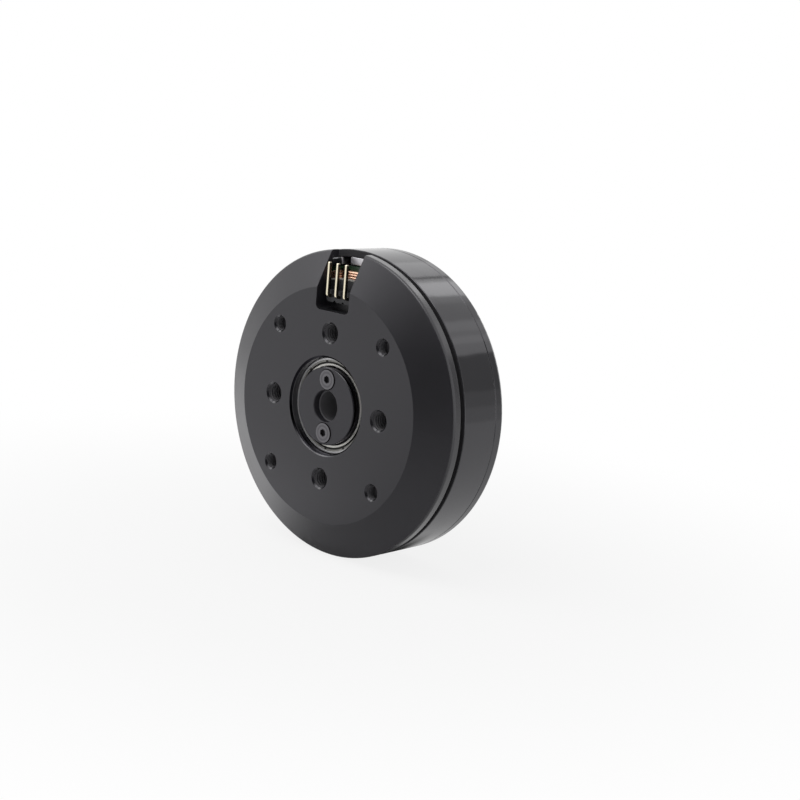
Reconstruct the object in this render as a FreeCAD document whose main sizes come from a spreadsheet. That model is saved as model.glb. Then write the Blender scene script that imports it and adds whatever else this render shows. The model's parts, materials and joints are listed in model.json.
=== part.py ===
"""Hollow-shaft gimbal motor, built as its separate pieces, in millimetres.

The motor axis is Y. The mounting face lies in the plane y = 0 and looks towards -Y, the body
reaches towards +Y, and +Z runs from the axis through the middle of the connector slot. A depth
is a distance along +Y from the mounting face, and a radius is a distance from the axis.
"""
import FreeCAD, Part
import math
import operator
import os
from types import SimpleNamespace

import Sketcher
from FreeCAD import Placement, Rotation, Vector

# Driving dimensions: name, value, what it measures
DIMENSIONS = (
    ("rim_radius", 33.6, "outside of the stator base"),
    ("face_radius", 25.75, "edge of the flat mounting face"),
    ("cone_depth", 3.8, "depth where the cone meets the rim"),
    ("rim_back", 5.85, "depth of the back edge of the rim"),
    ("rim_wall", 1.5, "thickness of the rim"),
    ("rim_rounding", 0.8, "rounding where the cone meets the rim"),
    ("edge_break", 0.15, "chamfer on turned edges"),
    ("plate_back", 4.15, "depth of the inner side of the base plate"),
    ("boss_radius", 20.0, "shoulder that the core stands on"),
    ("boss_back", 6.9, "depth of that shoulder"),
    ("core_bore", 19.0, "radius of the seat inside the core"),
    ("core_seat_back", 15.3, "depth of the end of the core seat"),
    ("pocket_radius", 17.2, "outer wall of the pocket behind the base"),
    ("pocket_front", 9.5, "depth of the floor of that pocket"),
    ("tube_radius", 12.6, "outside of the bearing tube"),
    ("bearing_mouth", 0.48, "chamfer at the mouth of the bearing seat"),
    ("shoulder_radius", 9.4, "bore between the two bearing seats"),
    ("slot_width", 9.8, "width of the connector slot"),
    ("slot_floor", 20.55, "inner end of the connector slot, from the axis"),
    ("slot_corner", 1.2, "corner radius of the connector slot"),
    ("large_hole", 4.0, "diameter of the four large tapped holes"),
    ("large_hole_circle", 16.0, "radius of their circle"),
    ("large_hole_depth", 7.0, "their depth"),
    ("small_hole", 3.0, "diameter of the small tapped holes"),
    ("small_hole_circle", 22.0, "radius of the circle of four on the face"),
    ("small_hole_depth", 2.8, "depth of those on the face"),
    ("output_hole_circle", 12.5, "radius of the circle of four on the back"),
    ("hole_mouth", 0.8, "how much wider a tapped hole is at its mouth"),
    ("drill_point", 118.0, "angle of the drilled end of a hole"),
    ("bearing_bore", 7.5, "radius inside a bearing"),
    ("bearing_outside", 10.5, "radius outside a bearing"),
    ("bearing_width", 4.0, "width of a bearing"),
    ("front_bearing", 1.8, "depth of the front of the front bearing"),
    ("rear_bearing", 12.9, "depth of the front of the rear bearing"),
    ("inner_land", 8.45, "outside of an inner ring"),
    ("outer_land", 9.55, "inside of an outer ring"),
    ("ball_pitch", 9.0, "radius of the circle of balls"),
    ("ball_radius", 0.96, "radius of a ball"),
    ("race_radius", 1.0, "radius of a ball groove"),
    ("ball_count", 14, "balls in a bearing"),
    ("cage_wall", 0.56, "thickness of a ball cage"),
    ("cage_width", 2.6, "width of a ball cage"),
    ("cage_pocket", 1.02, "radius of a ball's pocket in the cage"),
    ("shield_seat", 9.95, "outside of a shield's flange"),
    ("shield_lip", 8.68, "inside of a shield"),
    ("shield_sheet", 0.15, "thickness of a shield"),
    ("shield_recess", 0.08, "how far the flange lies behind the ring faces"),
    ("shield_fit", 0.05, "room round the back of a shield"),
    ("dish_outer", 9.5, "outer wall of the dish in a shield"),
    ("dish_inner", 9.17, "inner wall of the dish, outside of the lip"),
    ("dish_depth", 0.42, "how far the floor of the dish lies behind the ring faces"),
    ("lip_recess", 0.05, "how far the lip lies behind the ring faces"),
    ("lip_round", 0.06, "rounding of the lip's edges"),
    ("notch_count", 11, "notches round a shield"),
    ("notch_width", 0.55, "width of a notch"),
    ("notch_depth", 0.32, "how far a notch reaches into the flange"),
    ("notch_turn", -12.6, "turn of the first notch from +Z"),
    ("spacer_radius", 8.3, "outside of the sleeve between the bearings"),
    ("shaft_bore", 3.3, "radius of the hole through the shaft"),
    ("shaft_collar", 8.4, "outside of the collar behind the rear bearing"),
    ("cap_radius", 8.45, "outside of the shaft cap"),
    ("cap_front", 0.2, "depth of the front of the cap"),
    ("cap_bore", 3.5, "radius of the hole through the cap"),
    ("cap_screw_place", 5.85, "distance of a cap screw from the axis"),
    ("cap_countersink", 2.34, "radius of a countersink in the cap"),
    ("cap_screw_head", 2.3, "radius of a screw's head"),
    ("cap_screw_proud", 0.17, "how far a head stands over the cap"),
    ("cap_screw_hole", 2.7, "diameter of the clearance hole in the cap"),
    ("cap_screw_shank", 1.2, "radius of a screw's shank"),
    ("cap_screw_tip", 7.2, "depth of a screw's end"),
    ("cap_screw_thread", 2.5, "diameter of the tapped holes in the shaft"),
    ("cap_thread_depth", 6.2, "depth of those holes"),
    ("hex_width", 1.5, "socket width across its flats"),
    ("hex_depth", 0.8, "depth of the socket"),
    ("tooth_count", 24, "teeth of the core"),
    ("tooth_width", 3.4, "width of a tooth"),
    ("core_outside", 30.0, "outside of the core"),
    ("yoke_radius", 21.5, "outside of the ring that carries the teeth"),
    ("tip_root", 29.1, "radius where a tooth starts to widen"),
    ("tip_edge", 29.5, "radius of the thin edge of a tooth's tip"),
    ("core_gap", 1.2, "gap between two tooth tips"),
    ("end_plate", 0.4, "thickness of the green end plates"),
    ("core_length", 7.4, "length of the stack of steel sheets"),
    ("coil_inner", 21.8, "radius of the inner end of a coil"),
    ("coil_outer", 28.95, "radius of the outer end of a coil"),
    ("coil_wall_inner", 0.95, "thickness of a coil's side at its inner end"),
    ("coil_wall_outer", 1.75, "thickness of a coil's side at its outer end"),
    ("coil_head", 1.15, "height of a coil over the end plates"),
    ("coil_round", 0.9, "rounding of a coil's edges"),
    ("coil_fit", 0.05, "gap between a coil and its tooth"),
    ("lead_radius", 0.25, "radius of a winding's lead"),
    ("lead_place", 26.0, "radius where a lead meets the board"),
    ("board_inner", 20.2, "inside of the terminal board"),
    ("board_outer", 27.4, "outside of the terminal board"),
    ("board_back", 5.15, "depth of the back of the terminal board"),
    ("pin_pitch", 2.54, "distance between two pins"),
    ("pin_count", 3, "pins of the header"),
    ("pin_width", 0.64, "width of a square pin"),
    ("pin_root", 23.6, "where a pin stands in the header, from the axis"),
    ("pin_end", 30.9, "where a pin ends, from the axis"),
    ("pin_depth", 1.0, "depth of the outward run of a pin"),
    ("pin_tail", 5.5, "depth of a pin's soldered end"),
    ("pin_bend", 0.35, "inside radius of a pin's bend"),
    ("pin_point", 0.16, "chamfer at a pin's ends"),
    ("header_front", 1.9, "depth of the front of the header block"),
    ("header_corner", 0.46, "corner cut of a header segment"),
    ("drum_radius", 33.6, "outside of the drum"),
    ("drum_wall", 1.6, "thickness of the steel ring"),
    ("drum_front", 7.1, "depth of the front edge of the drum"),
    ("drum_seam", 17.05, "depth of the seam between ring and bell"),
    ("bell_front", 17.3, "depth of the inner side of the bell plate"),
    ("bell_back", 19.6, "depth of the back of the motor"),
    ("bell_fillet", 0.8, "rounding of the bell's back edge"),
    ("spigot_wall", 1.1, "thickness of the lip that carries the ring"),
    ("spigot_front", 16.0, "depth of the front of that lip"),
    ("magnet_count", 28, "magnets"),
    ("magnet_width", 4.5, "width of a magnet"),
    ("magnet_inner", 30.25, "radius of a magnet's inner face"),
    ("magnet_turn", -0.37, "turn of the first magnet from +Z"),
    ("magnet_front", 7.15, "depth of the front of the magnets"),
    ("magnet_length", 8.45, "length of a magnet"),
)

# Which end of a sketch curve a constraint takes hold of, and the sketch's own origin
START = 1
END = 2
CENTRE = 3
ORIGIN = -1

TOLERANCE = 1e-4
FULL_TURN = 360
COUNTERSINK_ANGLE = 90
CUT_MARGIN = 1.0
ROUNDING_STEPS = 7
OPERATIONS = {"+": operator.add, "-": operator.sub, "*": operator.mul, "/": operator.truediv}
MOTOR_AXIS = Vector(0, 1, 0)
ONTO_MOTOR_AXIS = Rotation(Vector(1, 0, 0), -90)


class Size:
    """A size written in the names of the sheet, with its value."""

    def __init__(self, text, value):
        self.text = text
        self.value = value

    def __add__(self, other):
        return combined(self, "+", other)

    def __sub__(self, other):
        return combined(self, "-", other)

    def __mul__(self, other):
        return combined(self, "*", other)

    def __rmul__(self, other):
        return combined(other, "*", self)

    def __truediv__(self, other):
        return combined(self, "/", other)

    def __rtruediv__(self, other):
        return combined(other, "/", self)

    def __neg__(self):
        return combined(0, "-", self)


def as_size(number):
    if isinstance(number, Size):
        return number
    return Size(repr(number), number)


def combined(first, sign, second):
    first = as_size(first)
    second = as_size(second)
    return Size(f"({first.text} {sign} {second.text})", OPERATIONS[sign](first.value, second.value))


def sine(angle):
    return Size(f"sin({angle.text})", math.sin(math.radians(angle.value)))


def cosine(angle):
    return Size(f"cos({angle.text})", math.cos(math.radians(angle.value)))


def tangent(angle):
    return Size(f"tan({angle.text})", math.tan(math.radians(angle.value)))


def direction(across, along):
    """Angle of a slanted line from the way that the second distance runs."""
    return Size(f"atan2({across.text}; {along.text})", math.degrees(math.atan2(across.value, along.value)))


def fill_sheet(sheet):
    for row, (alias, value, meaning) in enumerate(DIMENSIONS, start=1):
        sheet.set(f"A{row}", meaning)
        sheet.set(f"B{row}", str(value))
        sheet.setAlias(f"B{row}", alias)


def read_sheet(sheet):
    return SimpleNamespace(**{
        alias: Size(f"{sheet.Name}.{alias}", float(sheet.get(alias))) for alias, _, _ in DIMENSIONS})


doc = FreeCAD.newDocument("gimbal_motor")
dims = doc.addObject("Spreadsheet::Sheet", "dims")
fill_sheet(dims)
doc.recompute()
d = read_sheet(dims)

core_front = d.boss_back + d.end_plate
core_back = core_front + d.core_length
stack_back = core_back + d.end_plate
coil_front = d.boss_back - d.coil_head
coil_back = stack_back + d.coil_head
tube_back = d.rear_bearing + d.bearing_width
drum_inside = d.drum_radius - d.drum_wall
half_pitch = 180 / d.tooth_count
ZERO = as_size(0)

pieces = []


def bind(feature, property_name, size):
    feature.setExpression(property_name, as_size(size).text)


def piece(obj):
    """Note an object as one of the motor's pieces."""
    pieces.append(obj)
    return obj


def new_body(label):
    return doc.addObject("PartDesign::Body", label)


def origin_feature(body, role):
    return next(feature for feature in body.Origin.OriginFeatures if feature.Role == role)


def sketch_on(body, plane, name, depth=None):
    """A sketch on one of the body's own planes. One across the axis can stand at a depth."""
    sketch = body.newObject("Sketcher::SketchObject", name)
    sketch.AttachmentSupport = [(origin_feature(body, plane), "")]
    sketch.MapMode = "FlatFace"
    if depth is not None:
        bind(sketch, "AttachmentOffset.Base.z", -as_size(depth))
    return sketch


def hold(sketch, kind, curve, end, distance):
    """Keep a point of a curve at a signed distance from the sketch's origin."""
    size = as_size(distance)
    index = sketch.addConstraint(Sketcher.Constraint(kind, ORIGIN, START, curve, end, size.value))
    sketch.setExpression(f"Constraints[{index}]", size.text)


def draw_outline(sketch, corners):
    """Closed outline of straight lines, each corner held by its two distances from the origin."""
    first = sketch.GeometryCount
    count = len(corners)
    places = [Vector(as_size(across).value, as_size(along).value, 0) for across, along in corners]
    for i in range(count):
        sketch.addGeometry(Part.LineSegment(places[i], places[(i + 1) % count]))
    for i in range(count):
        sketch.addConstraint(
            Sketcher.Constraint("Coincident", first + i, END, first + (i + 1) % count, START))
    for i, (across, along) in enumerate(corners):
        hold(sketch, "DistanceX", first + i, START, across)
        hold(sketch, "DistanceY", first + i, START, along)


def draw_circle(sketch, across, along, radius):
    centre = Vector(as_size(across).value, as_size(along).value, 0)
    curve = sketch.addGeometry(Part.Circle(centre, Vector(0, 0, 1), as_size(radius).value))
    hold(sketch, "DistanceX", curve, CENTRE, across)
    hold(sketch, "DistanceY", curve, CENTRE, along)
    index = sketch.addConstraint(Sketcher.Constraint("Radius", curve, as_size(radius).value))
    sketch.setExpression(f"Constraints[{index}]", as_size(radius).text)


def draw_box(sketch, left, right, low, high):
    draw_outline(sketch, [(left, low), (right, low), (right, high), (left, high)])


def revolve(body, name, corners):
    """Turned form from an outline of (radius, depth) corners."""
    sketch = sketch_on(body, "XY_Plane", name + "_profile")
    draw_outline(sketch, corners)
    feature = body.newObject("PartDesign::Revolution", name)
    feature.Profile = sketch
    feature.ReferenceAxis = (sketch, ["V_Axis"])
    feature.Angle = FULL_TURN
    doc.recompute()
    return feature


def rounded_rim(radius, depth, turn, rounding):
    """Outline corners that round the edge between a cone and the cylinder behind it."""
    centre_radius = radius - rounding
    centre_depth = depth + rounding * tangent(turn / 2)
    angles = [turn * (1 - i / ROUNDING_STEPS) for i in range(ROUNDING_STEPS + 1)]
    return [(centre_radius + rounding * cosine(a), centre_depth - rounding * sine(a)) for a in angles]


def pad(body, name, sketch, length):
    """Solid from a sketch across the axis, towards the back."""
    feature = body.newObject("PartDesign::Pad", name)
    feature.Profile = sketch
    feature.Reversed = True
    bind(feature, "Length", length)
    doc.recompute()
    return feature


def removed(feature, before):
    """Stop the build if a cutting feature took nothing away."""
    doc.recompute()
    if feature.Shape.Volume > before - TOLERANCE:
        raise RuntimeError(feature.Name + " cut nothing")
    return feature


def pocket(body, name, sketch, length):
    """Cut from a sketch across the axis, towards the back."""
    before = body.Shape.Volume
    feature = body.newObject("PartDesign::Pocket", name)
    feature.Profile = sketch
    bind(feature, "Length", length)
    return removed(feature, before)


def drill(body, name, sketch, diameter, depth, mouth, from_back=False):
    """Round holes with a chamfered mouth and, where they are blind, a drilled end."""
    doc.recompute()
    before = body.Shape.Volume
    feature = body.newObject("PartDesign::Hole", name)
    feature.Profile = sketch
    feature.Reversed = from_back
    bind(feature, "Diameter", diameter)
    if depth is None:
        feature.DepthType = "ThroughAll"
    else:
        feature.DepthType = "Dimension"
        bind(feature, "Depth", depth)
        feature.DrillPoint = "Angled"
        bind(feature, "DrillPointAngle", d.drill_point)
    feature.HoleCutType = "Countersink"
    feature.HoleCutCustomValues = True
    bind(feature, "HoleCutDiameter", mouth)
    feature.HoleCutCountersinkAngle = COUNTERSINK_ANGLE
    return removed(feature, before)


def around_axis(body, name, feature, count):
    """Repeat a feature evenly round the motor axis."""
    pattern = body.newObject("PartDesign::PolarPattern", name)
    pattern.Originals = [feature]
    pattern.Axis = (origin_feature(body, "Y_Axis"), [""])
    pattern.Angle = FULL_TURN
    bind(pattern, "Occurrences", count)
    body.Tip = pattern
    doc.recompute()
    return pattern


def edge_names(feature, wanted):
    """Names of the feature's edges that pass a test."""
    return [f"Edge{i}" for i, edge in enumerate(feature.Shape.Edges, start=1) if wanted(edge)]


def dress(body, kind, name, feature, names, size_name, size):
    """Fillet or Chamfer on the named edges of a feature."""
    finish = body.newObject("PartDesign::" + kind, name)
    finish.Base = (feature, names)
    bind(finish, size_name, size)
    doc.recompute()
    return finish


def fillet(body, name, feature, wanted, radius):
    return dress(body, "Fillet", name, feature, edge_names(feature, wanted), "Radius", radius)


def is_near(first, second):
    return abs(first - second) < TOLERANCE


def circle_at(radius, depth):
    """Test for a full circle round the axis."""
    def wanted(edge):
        if not isinstance(edge.Curve, Part.Circle):
            return False
        return is_near(edge.Curve.Radius, radius.value) and is_near(edge.Curve.Center.y, depth.value)
    return wanted


def turned_about_axis(shape, angle):
    copy = shape.copy()
    copy.rotate(Vector(), MOTOR_AXIS, angle)
    return copy


def group(label, shapes):
    """One piece made of separate like solids."""
    feature = doc.addObject("Part::Feature", label)
    feature.Shape = Part.makeCompound(shapes)
    feature.Placement = Placement()
    return piece(feature)


def ring_of(label, master, count, first=ZERO):
    """Copies of a solid spread evenly round the axis, from a first turn on."""
    number = int(count.value)
    turns = [first.value + FULL_TURN * i / number for i in range(number)]
    return group(label, [turned_about_axis(master.Shape, turn) for turn in turns])


def four_on_circle(sketch, circle, radius, diagonal):
    """Four circles round the axis, on the upright cross or on the diagonals."""
    reach = circle * math.sqrt(0.5) if diagonal else circle
    if diagonal:
        places = [(reach, reach), (-reach, reach), (-reach, -reach), (reach, -reach)]
    else:
        places = [(reach, ZERO), (ZERO, reach), (-reach, ZERO), (ZERO, -reach)]
    for across, along in places:
        draw_circle(sketch, across, along, radius)


# The stationary base

def make_stator_base():
    body = new_body("stator_base")
    rim_inside = d.rim_radius - d.rim_wall
    front_seat_back = d.front_bearing + d.bearing_width
    cone_turn = direction(d.rim_radius - d.face_radius, d.cone_depth)
    revolve(body, "base_turned", [
        (d.bearing_outside + d.bearing_mouth, ZERO),
        (d.face_radius, ZERO),
        *rounded_rim(d.rim_radius, d.cone_depth, cone_turn, d.rim_rounding),
        (d.rim_radius, d.rim_back - d.edge_break),
        (d.rim_radius - d.edge_break, d.rim_back),
        (rim_inside, d.rim_back),
        (rim_inside, d.plate_back),
        (d.boss_radius, d.plate_back),
        (d.boss_radius, d.boss_back),
        (d.core_bore, d.boss_back),
        (d.core_bore, d.core_seat_back),
        (d.pocket_radius, d.core_seat_back),
        (d.pocket_radius, d.pocket_front),
        (d.tube_radius, d.pocket_front),
        (d.tube_radius, tube_back),
        (d.bearing_outside, tube_back),
        (d.bearing_outside, d.rear_bearing),
        (d.shoulder_radius, d.rear_bearing),
        (d.shoulder_radius, front_seat_back),
        (d.bearing_outside, front_seat_back),
        (d.bearing_outside, d.bearing_mouth),
    ])

    half_slot = d.slot_width / 2
    sketch = sketch_on(body, "XZ_Plane", "slot_outline")
    draw_box(sketch, -half_slot, half_slot, d.slot_floor, d.rim_radius + d.rim_wall)
    slot = pocket(body, "slot_cut", sketch, d.rim_back + d.rim_wall)

    def slot_corner(edge):
        box = edge.BoundBox
        at_side = is_near(abs(box.XMin), half_slot.value) and is_near(box.XMin, box.XMax)
        return at_side and is_near(box.ZMin, d.slot_floor.value) and is_near(box.ZMax, d.slot_floor.value)

    fillet(body, "slot_rounded", slot, slot_corner, d.slot_corner)

    sketch = sketch_on(body, "XZ_Plane", "large_hole_places")
    four_on_circle(sketch, d.large_hole_circle, d.large_hole / 2, diagonal=False)
    drill(body, "large_holes", sketch, d.large_hole, d.large_hole_depth, d.large_hole + d.hole_mouth)
    sketch = sketch_on(body, "XZ_Plane", "small_hole_places")
    four_on_circle(sketch, d.small_hole_circle, d.small_hole / 2, diagonal=True)
    drill(body, "small_holes", sketch, d.small_hole, d.small_hole_depth, d.small_hole + d.hole_mouth)
    return piece(body)


# Core, end plates and windings

def make_lamination(label, front, length):
    """Toothed disc with one tooth on +Z. The slots are cut, as a press stamps them."""
    body = new_body(label)
    sketch = sketch_on(body, "XZ_Plane", label + "_disc", front)
    draw_circle(sketch, ZERO, ZERO, d.core_bore)
    draw_circle(sketch, ZERO, ZERO, d.core_outside)
    pad(body, label + "_blank", sketch, length)

    half_tooth = d.tooth_width / 2
    floor_half = d.yoke_radius * sine(half_pitch) - half_tooth * cosine(half_pitch)
    floor_place = d.yoke_radius * cosine(half_pitch) + half_tooth * sine(half_pitch)
    wide_half = d.tip_root * sine(half_pitch) - half_tooth * cosine(half_pitch)
    wide_place = d.tip_root * cosine(half_pitch) + half_tooth * sine(half_pitch)
    half_gap = d.core_gap / 2
    past_edge = d.core_outside + d.core_gap
    sketch = sketch_on(body, "XZ_Plane", label + "_slot", front)
    draw_outline(sketch, [
        (-floor_half, floor_place),
        (floor_half, floor_place),
        (wide_half, wide_place),
        (half_gap, d.tip_edge),
        (half_gap, past_edge),
        (-half_gap, past_edge),
        (-half_gap, d.tip_edge),
        (-wide_half, wide_place),
    ])
    slot = pocket(body, label + "_slot_cut", sketch, length)
    around_axis(body, label + "_slots", slot, d.tooth_count)
    body.Placement = Placement(Vector(), Rotation(MOTOR_AXIS, half_pitch.value))
    return piece(body)


def make_coil():
    """One coil, round the tooth on +Z. It widens outwards, as the slots do."""
    body = new_body("coil_master")
    inner_half = d.tooth_width / 2 + d.coil_wall_inner
    outer_half = d.tooth_width / 2 + d.coil_wall_outer
    sketch = sketch_on(body, "XZ_Plane", "coil_outline", coil_front)
    draw_outline(sketch, [
        (-inner_half, d.coil_inner),
        (inner_half, d.coil_inner),
        (outer_half, d.coil_outer),
        (-outer_half, d.coil_outer),
    ])
    block = pad(body, "coil_block", sketch, coil_back - coil_front)

    def along_tooth(edge):
        return edge.BoundBox.ZLength > d.coil_round.value

    fillet(body, "coil_rounded", block, along_tooth, d.coil_round)
    half_window = d.tooth_width / 2 + d.coil_fit
    sketch = sketch_on(body, "XZ_Plane", "coil_window", d.boss_back)
    draw_box(sketch, -half_window, half_window, d.coil_inner - CUT_MARGIN, d.coil_outer + CUT_MARGIN)
    pocket(body, "coil_opened", sketch, stack_back - d.boss_back)
    return body


def tooth_angle(tooth):
    return 2 * half_pitch.value * tooth


PHASE_LETTERS = "uvw"
TEETH_PER_GROUP = 2


def phase_teeth(phase):
    """Teeth of one phase: pairs of neighbours, repeated round the core."""
    step = TEETH_PER_GROUP * len(PHASE_LETTERS)
    starts = range(TEETH_PER_GROUP * phase, int(d.tooth_count.value), step)
    return [start + i for start in starts for i in range(TEETH_PER_GROUP)]


def make_windings():
    coil = make_coil()
    lead = doc.addObject("Part::Cylinder", "lead_master")
    bind(lead, "Radius", d.lead_radius)
    bind(lead, "Height", coil_front - d.board_back)
    lead.Placement = Placement(
        Vector(0, d.board_back.value, d.lead_place.value), ONTO_MOTOR_AXIS)
    doc.recompute()
    leads = []
    for phase, letter in enumerate(PHASE_LETTERS):
        teeth = phase_teeth(phase)
        group(f"phase_{letter}_coils", [turned_about_axis(coil.Shape, tooth_angle(t)) for t in teeth])
        for tooth in (teeth[0], teeth[-1]):
            leads.append(turned_about_axis(lead.Shape, tooth_angle(tooth)))
    group("winding_leads", leads)


# Terminal board and header

def pin_places():
    middle = (int(d.pin_count.value) - 1) / 2
    return [(i - middle) * d.pin_pitch for i in range(int(d.pin_count.value))]


def cut_pin_holes(body, name, front, length):
    half = d.pin_width / 2
    sketch = sketch_on(body, "XZ_Plane", name + "_places", front)
    for place in pin_places():
        draw_box(sketch, place - half, place + half, d.pin_root - half, d.pin_root + half)
    return pocket(body, name, sketch, length)


def make_terminal_board():
    body = new_body("terminal_board")
    sketch = sketch_on(body, "XZ_Plane", "board_outline", d.plate_back)
    draw_circle(sketch, ZERO, ZERO, d.board_inner)
    draw_circle(sketch, ZERO, ZERO, d.board_outer)
    pad(body, "board_sheet", sketch, d.board_back - d.plate_back)
    cut_pin_holes(body, "board_pin_holes", d.plate_back, d.board_back - d.plate_back)
    return piece(body)


def make_header_body():
    """Row of eight-sided segments with a notch between each two."""
    body = new_body("header_body")
    half = d.pin_pitch / 2
    flat = half - d.header_corner
    low = d.pin_root - half
    high = d.pin_root + half
    under = []
    over = []
    for place in pin_places():
        under += [(place - half, low + d.header_corner), (place - flat, low), (place + flat, low)]
        over += [(place - half, high - d.header_corner), (place - flat, high), (place + flat, high)]
    last = pin_places()[-1] + half
    ends = [(last, low + d.header_corner), (last, high - d.header_corner)]
    sketch = sketch_on(body, "XZ_Plane", "header_outline", d.header_front)
    draw_outline(sketch, under + ends + over[::-1])
    pad(body, "header_block", sketch, d.plate_back - d.header_front)
    cut_pin_holes(body, "header_pin_holes", d.header_front, d.plate_back - d.header_front)
    return piece(body)


def make_header_pins():
    """Square pins that stand in the header and bend outwards along the face."""
    body = new_body("pin_master")
    half = d.pin_width / 2
    front = d.pin_depth - half
    back = d.pin_depth + half
    inner = d.pin_root - half
    outer = d.pin_root + half
    sketch = sketch_on(body, "YZ_Plane", "pin_side")
    draw_outline(sketch, [
        (front, inner), (d.pin_tail, inner), (d.pin_tail, outer),
        (back, outer), (back, d.pin_end), (front, d.pin_end),
    ])
    strip = body.newObject("PartDesign::Pad", "pin_strip")
    strip.Profile = sketch
    strip.Midplane = True
    bind(strip, "Length", d.pin_width)
    doc.recompute()

    def across_at(depth, place):
        def wanted(edge):
            box = edge.BoundBox
            across = box.XLength > half.value
            return across and is_near(box.YMin, depth.value) and is_near(box.ZMin, place.value)
        return wanted

    inside = fillet(body, "pin_bend_inside", strip, across_at(back, outer), d.pin_bend)
    outside = fillet(body, "pin_bend_outside", inside, across_at(front, inner), d.pin_bend + d.pin_width)

    def at_point(edge):
        box = edge.BoundBox
        at_tip = is_near(box.ZMin, d.pin_end.value)
        at_tail = is_near(box.YMin, d.pin_tail.value)
        return at_tip or at_tail

    dress(body, "Chamfer", "pin_points", outside, edge_names(outside, at_point), "Size", d.pin_point)
    shapes = []
    for place in pin_places():
        copy = body.Shape.copy()
        copy.translate(Vector(place.value, 0, 0))
        shapes.append(copy)
    return group("header_pins", shapes)


# Bearings

def cut_race(body, name, middle):
    """Ball groove round a bearing ring."""
    before = body.Shape.Volume
    sketch = sketch_on(body, "XY_Plane", name + "_profile")
    draw_circle(sketch, d.ball_pitch, middle, d.race_radius)
    feature = body.newObject("PartDesign::Groove", name)
    feature.Profile = sketch
    feature.ReferenceAxis = (sketch, ["V_Axis"])
    feature.Angle = FULL_TURN
    return removed(feature, before)


def make_outer_ring(prefix, front):
    body = new_body(prefix + "_bearing_outer_ring")
    back = front + d.bearing_width
    ledge = d.shield_recess + d.shield_sheet
    room = d.dish_depth + d.shield_sheet + d.shield_fit
    relief = d.dish_outer + d.shield_sheet + d.shield_fit
    revolve(body, prefix + "_outer_turned", [
        (d.shield_seat, front),
        (d.bearing_outside - d.edge_break, front),
        (d.bearing_outside, front + d.edge_break),
        (d.bearing_outside, back - d.edge_break),
        (d.bearing_outside - d.edge_break, back),
        (d.shield_seat, back),
        (d.shield_seat, back - ledge),
        (relief, back - ledge),
        (relief, back - room),
        (d.outer_land, back - room),
        (d.outer_land, front + room),
        (relief, front + room),
        (relief, front + ledge),
        (d.shield_seat, front + ledge),
    ])
    cut_race(body, prefix + "_outer_race", front + d.bearing_width / 2)
    return piece(body)


def make_inner_ring(prefix, front):
    body = new_body(prefix + "_bearing_inner_ring")
    back = front + d.bearing_width
    revolve(body, prefix + "_inner_turned", [
        (d.bearing_bore + d.edge_break, front),
        (d.inner_land, front),
        (d.inner_land, back),
        (d.bearing_bore + d.edge_break, back),
        (d.bearing_bore, back - d.edge_break),
        (d.bearing_bore, front + d.edge_break),
    ])
    cut_race(body, prefix + "_inner_race", front + d.bearing_width / 2)
    return piece(body)


def make_shield(label, face, inwards):
    """Pressed sheet: notched flange, dish and rolled lip. Inwards is 1 or -1 along the axis."""
    body = new_body(label)
    sheet = inwards * d.shield_sheet
    flange = face + inwards * d.shield_recess
    dish = face + inwards * d.dish_depth
    lip = face + inwards * d.lip_recess
    dish_outside = d.dish_outer + d.shield_sheet
    lip_inside = d.dish_inner - d.shield_sheet
    turned = revolve(body, label + "_turned", [
        (d.shield_lip, lip),
        (d.dish_inner, lip),
        (d.dish_inner, dish),
        (d.dish_outer, dish),
        (d.dish_outer, flange),
        (d.shield_seat, flange),
        (d.shield_seat, flange + sheet),
        (dish_outside, flange + sheet),
        (dish_outside, dish + sheet),
        (lip_inside, dish + sheet),
        (lip_inside, lip + sheet),
        (d.shield_lip, lip + sheet),
    ])
    inner_edge = circle_at(d.shield_lip, lip)
    outer_edge = circle_at(d.dish_inner, lip)

    def lip_edge(edge):
        return inner_edge(edge) or outer_edge(edge)

    fillet(body, label + "_rolled", turned, lip_edge, d.lip_round)
    front = flange if inwards > 0 else flange + sheet
    half = d.notch_width / 2
    sketch = sketch_on(body, "XZ_Plane", label + "_notch", front)
    draw_box(sketch, -half, half, d.dish_outer - d.notch_depth, d.dish_outer + d.notch_depth)
    notch = pocket(body, label + "_notch_cut", sketch, d.shield_sheet)
    around_axis(body, label + "_notches", notch, d.notch_count)
    body.Placement = Placement(Vector(), Rotation(MOTOR_AXIS, d.notch_turn.value))
    return piece(body)


def make_cage(prefix, front):
    """Band with a round window for each ball, the first one on +Z."""
    body = new_body(prefix + "_bearing_cage")
    middle = front + d.bearing_width / 2
    half_wall = d.cage_wall / 2
    half_width = d.cage_width / 2
    revolve(body, prefix + "_cage_band", [
        (d.ball_pitch - half_wall, middle - half_width),
        (d.ball_pitch + half_wall, middle - half_width),
        (d.ball_pitch + half_wall, middle + half_width),
        (d.ball_pitch - half_wall, middle + half_width),
    ])
    before = body.Shape.Volume
    sketch = sketch_on(body, "XY_Plane", prefix + "_cage_window")
    draw_circle(sketch, ZERO, middle, d.cage_pocket)
    window = body.newObject("PartDesign::Pocket", prefix + "_cage_window_cut")
    window.Profile = sketch
    window.Reversed = True
    bind(window, "Length", d.bearing_outside)
    removed(window, before)
    around_axis(body, prefix + "_cage_windows", window, d.ball_count)
    return piece(body)


def make_balls(prefix, front):
    ball = doc.addObject("Part::Sphere", prefix + "_ball_master")
    bind(ball, "Radius", d.ball_radius)
    middle = front + d.bearing_width / 2
    ball.Placement = Placement(Vector(0, middle.value, d.ball_pitch.value), Rotation())
    doc.recompute()
    return ring_of(prefix + "_bearing_balls", ball, d.ball_count)


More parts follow.
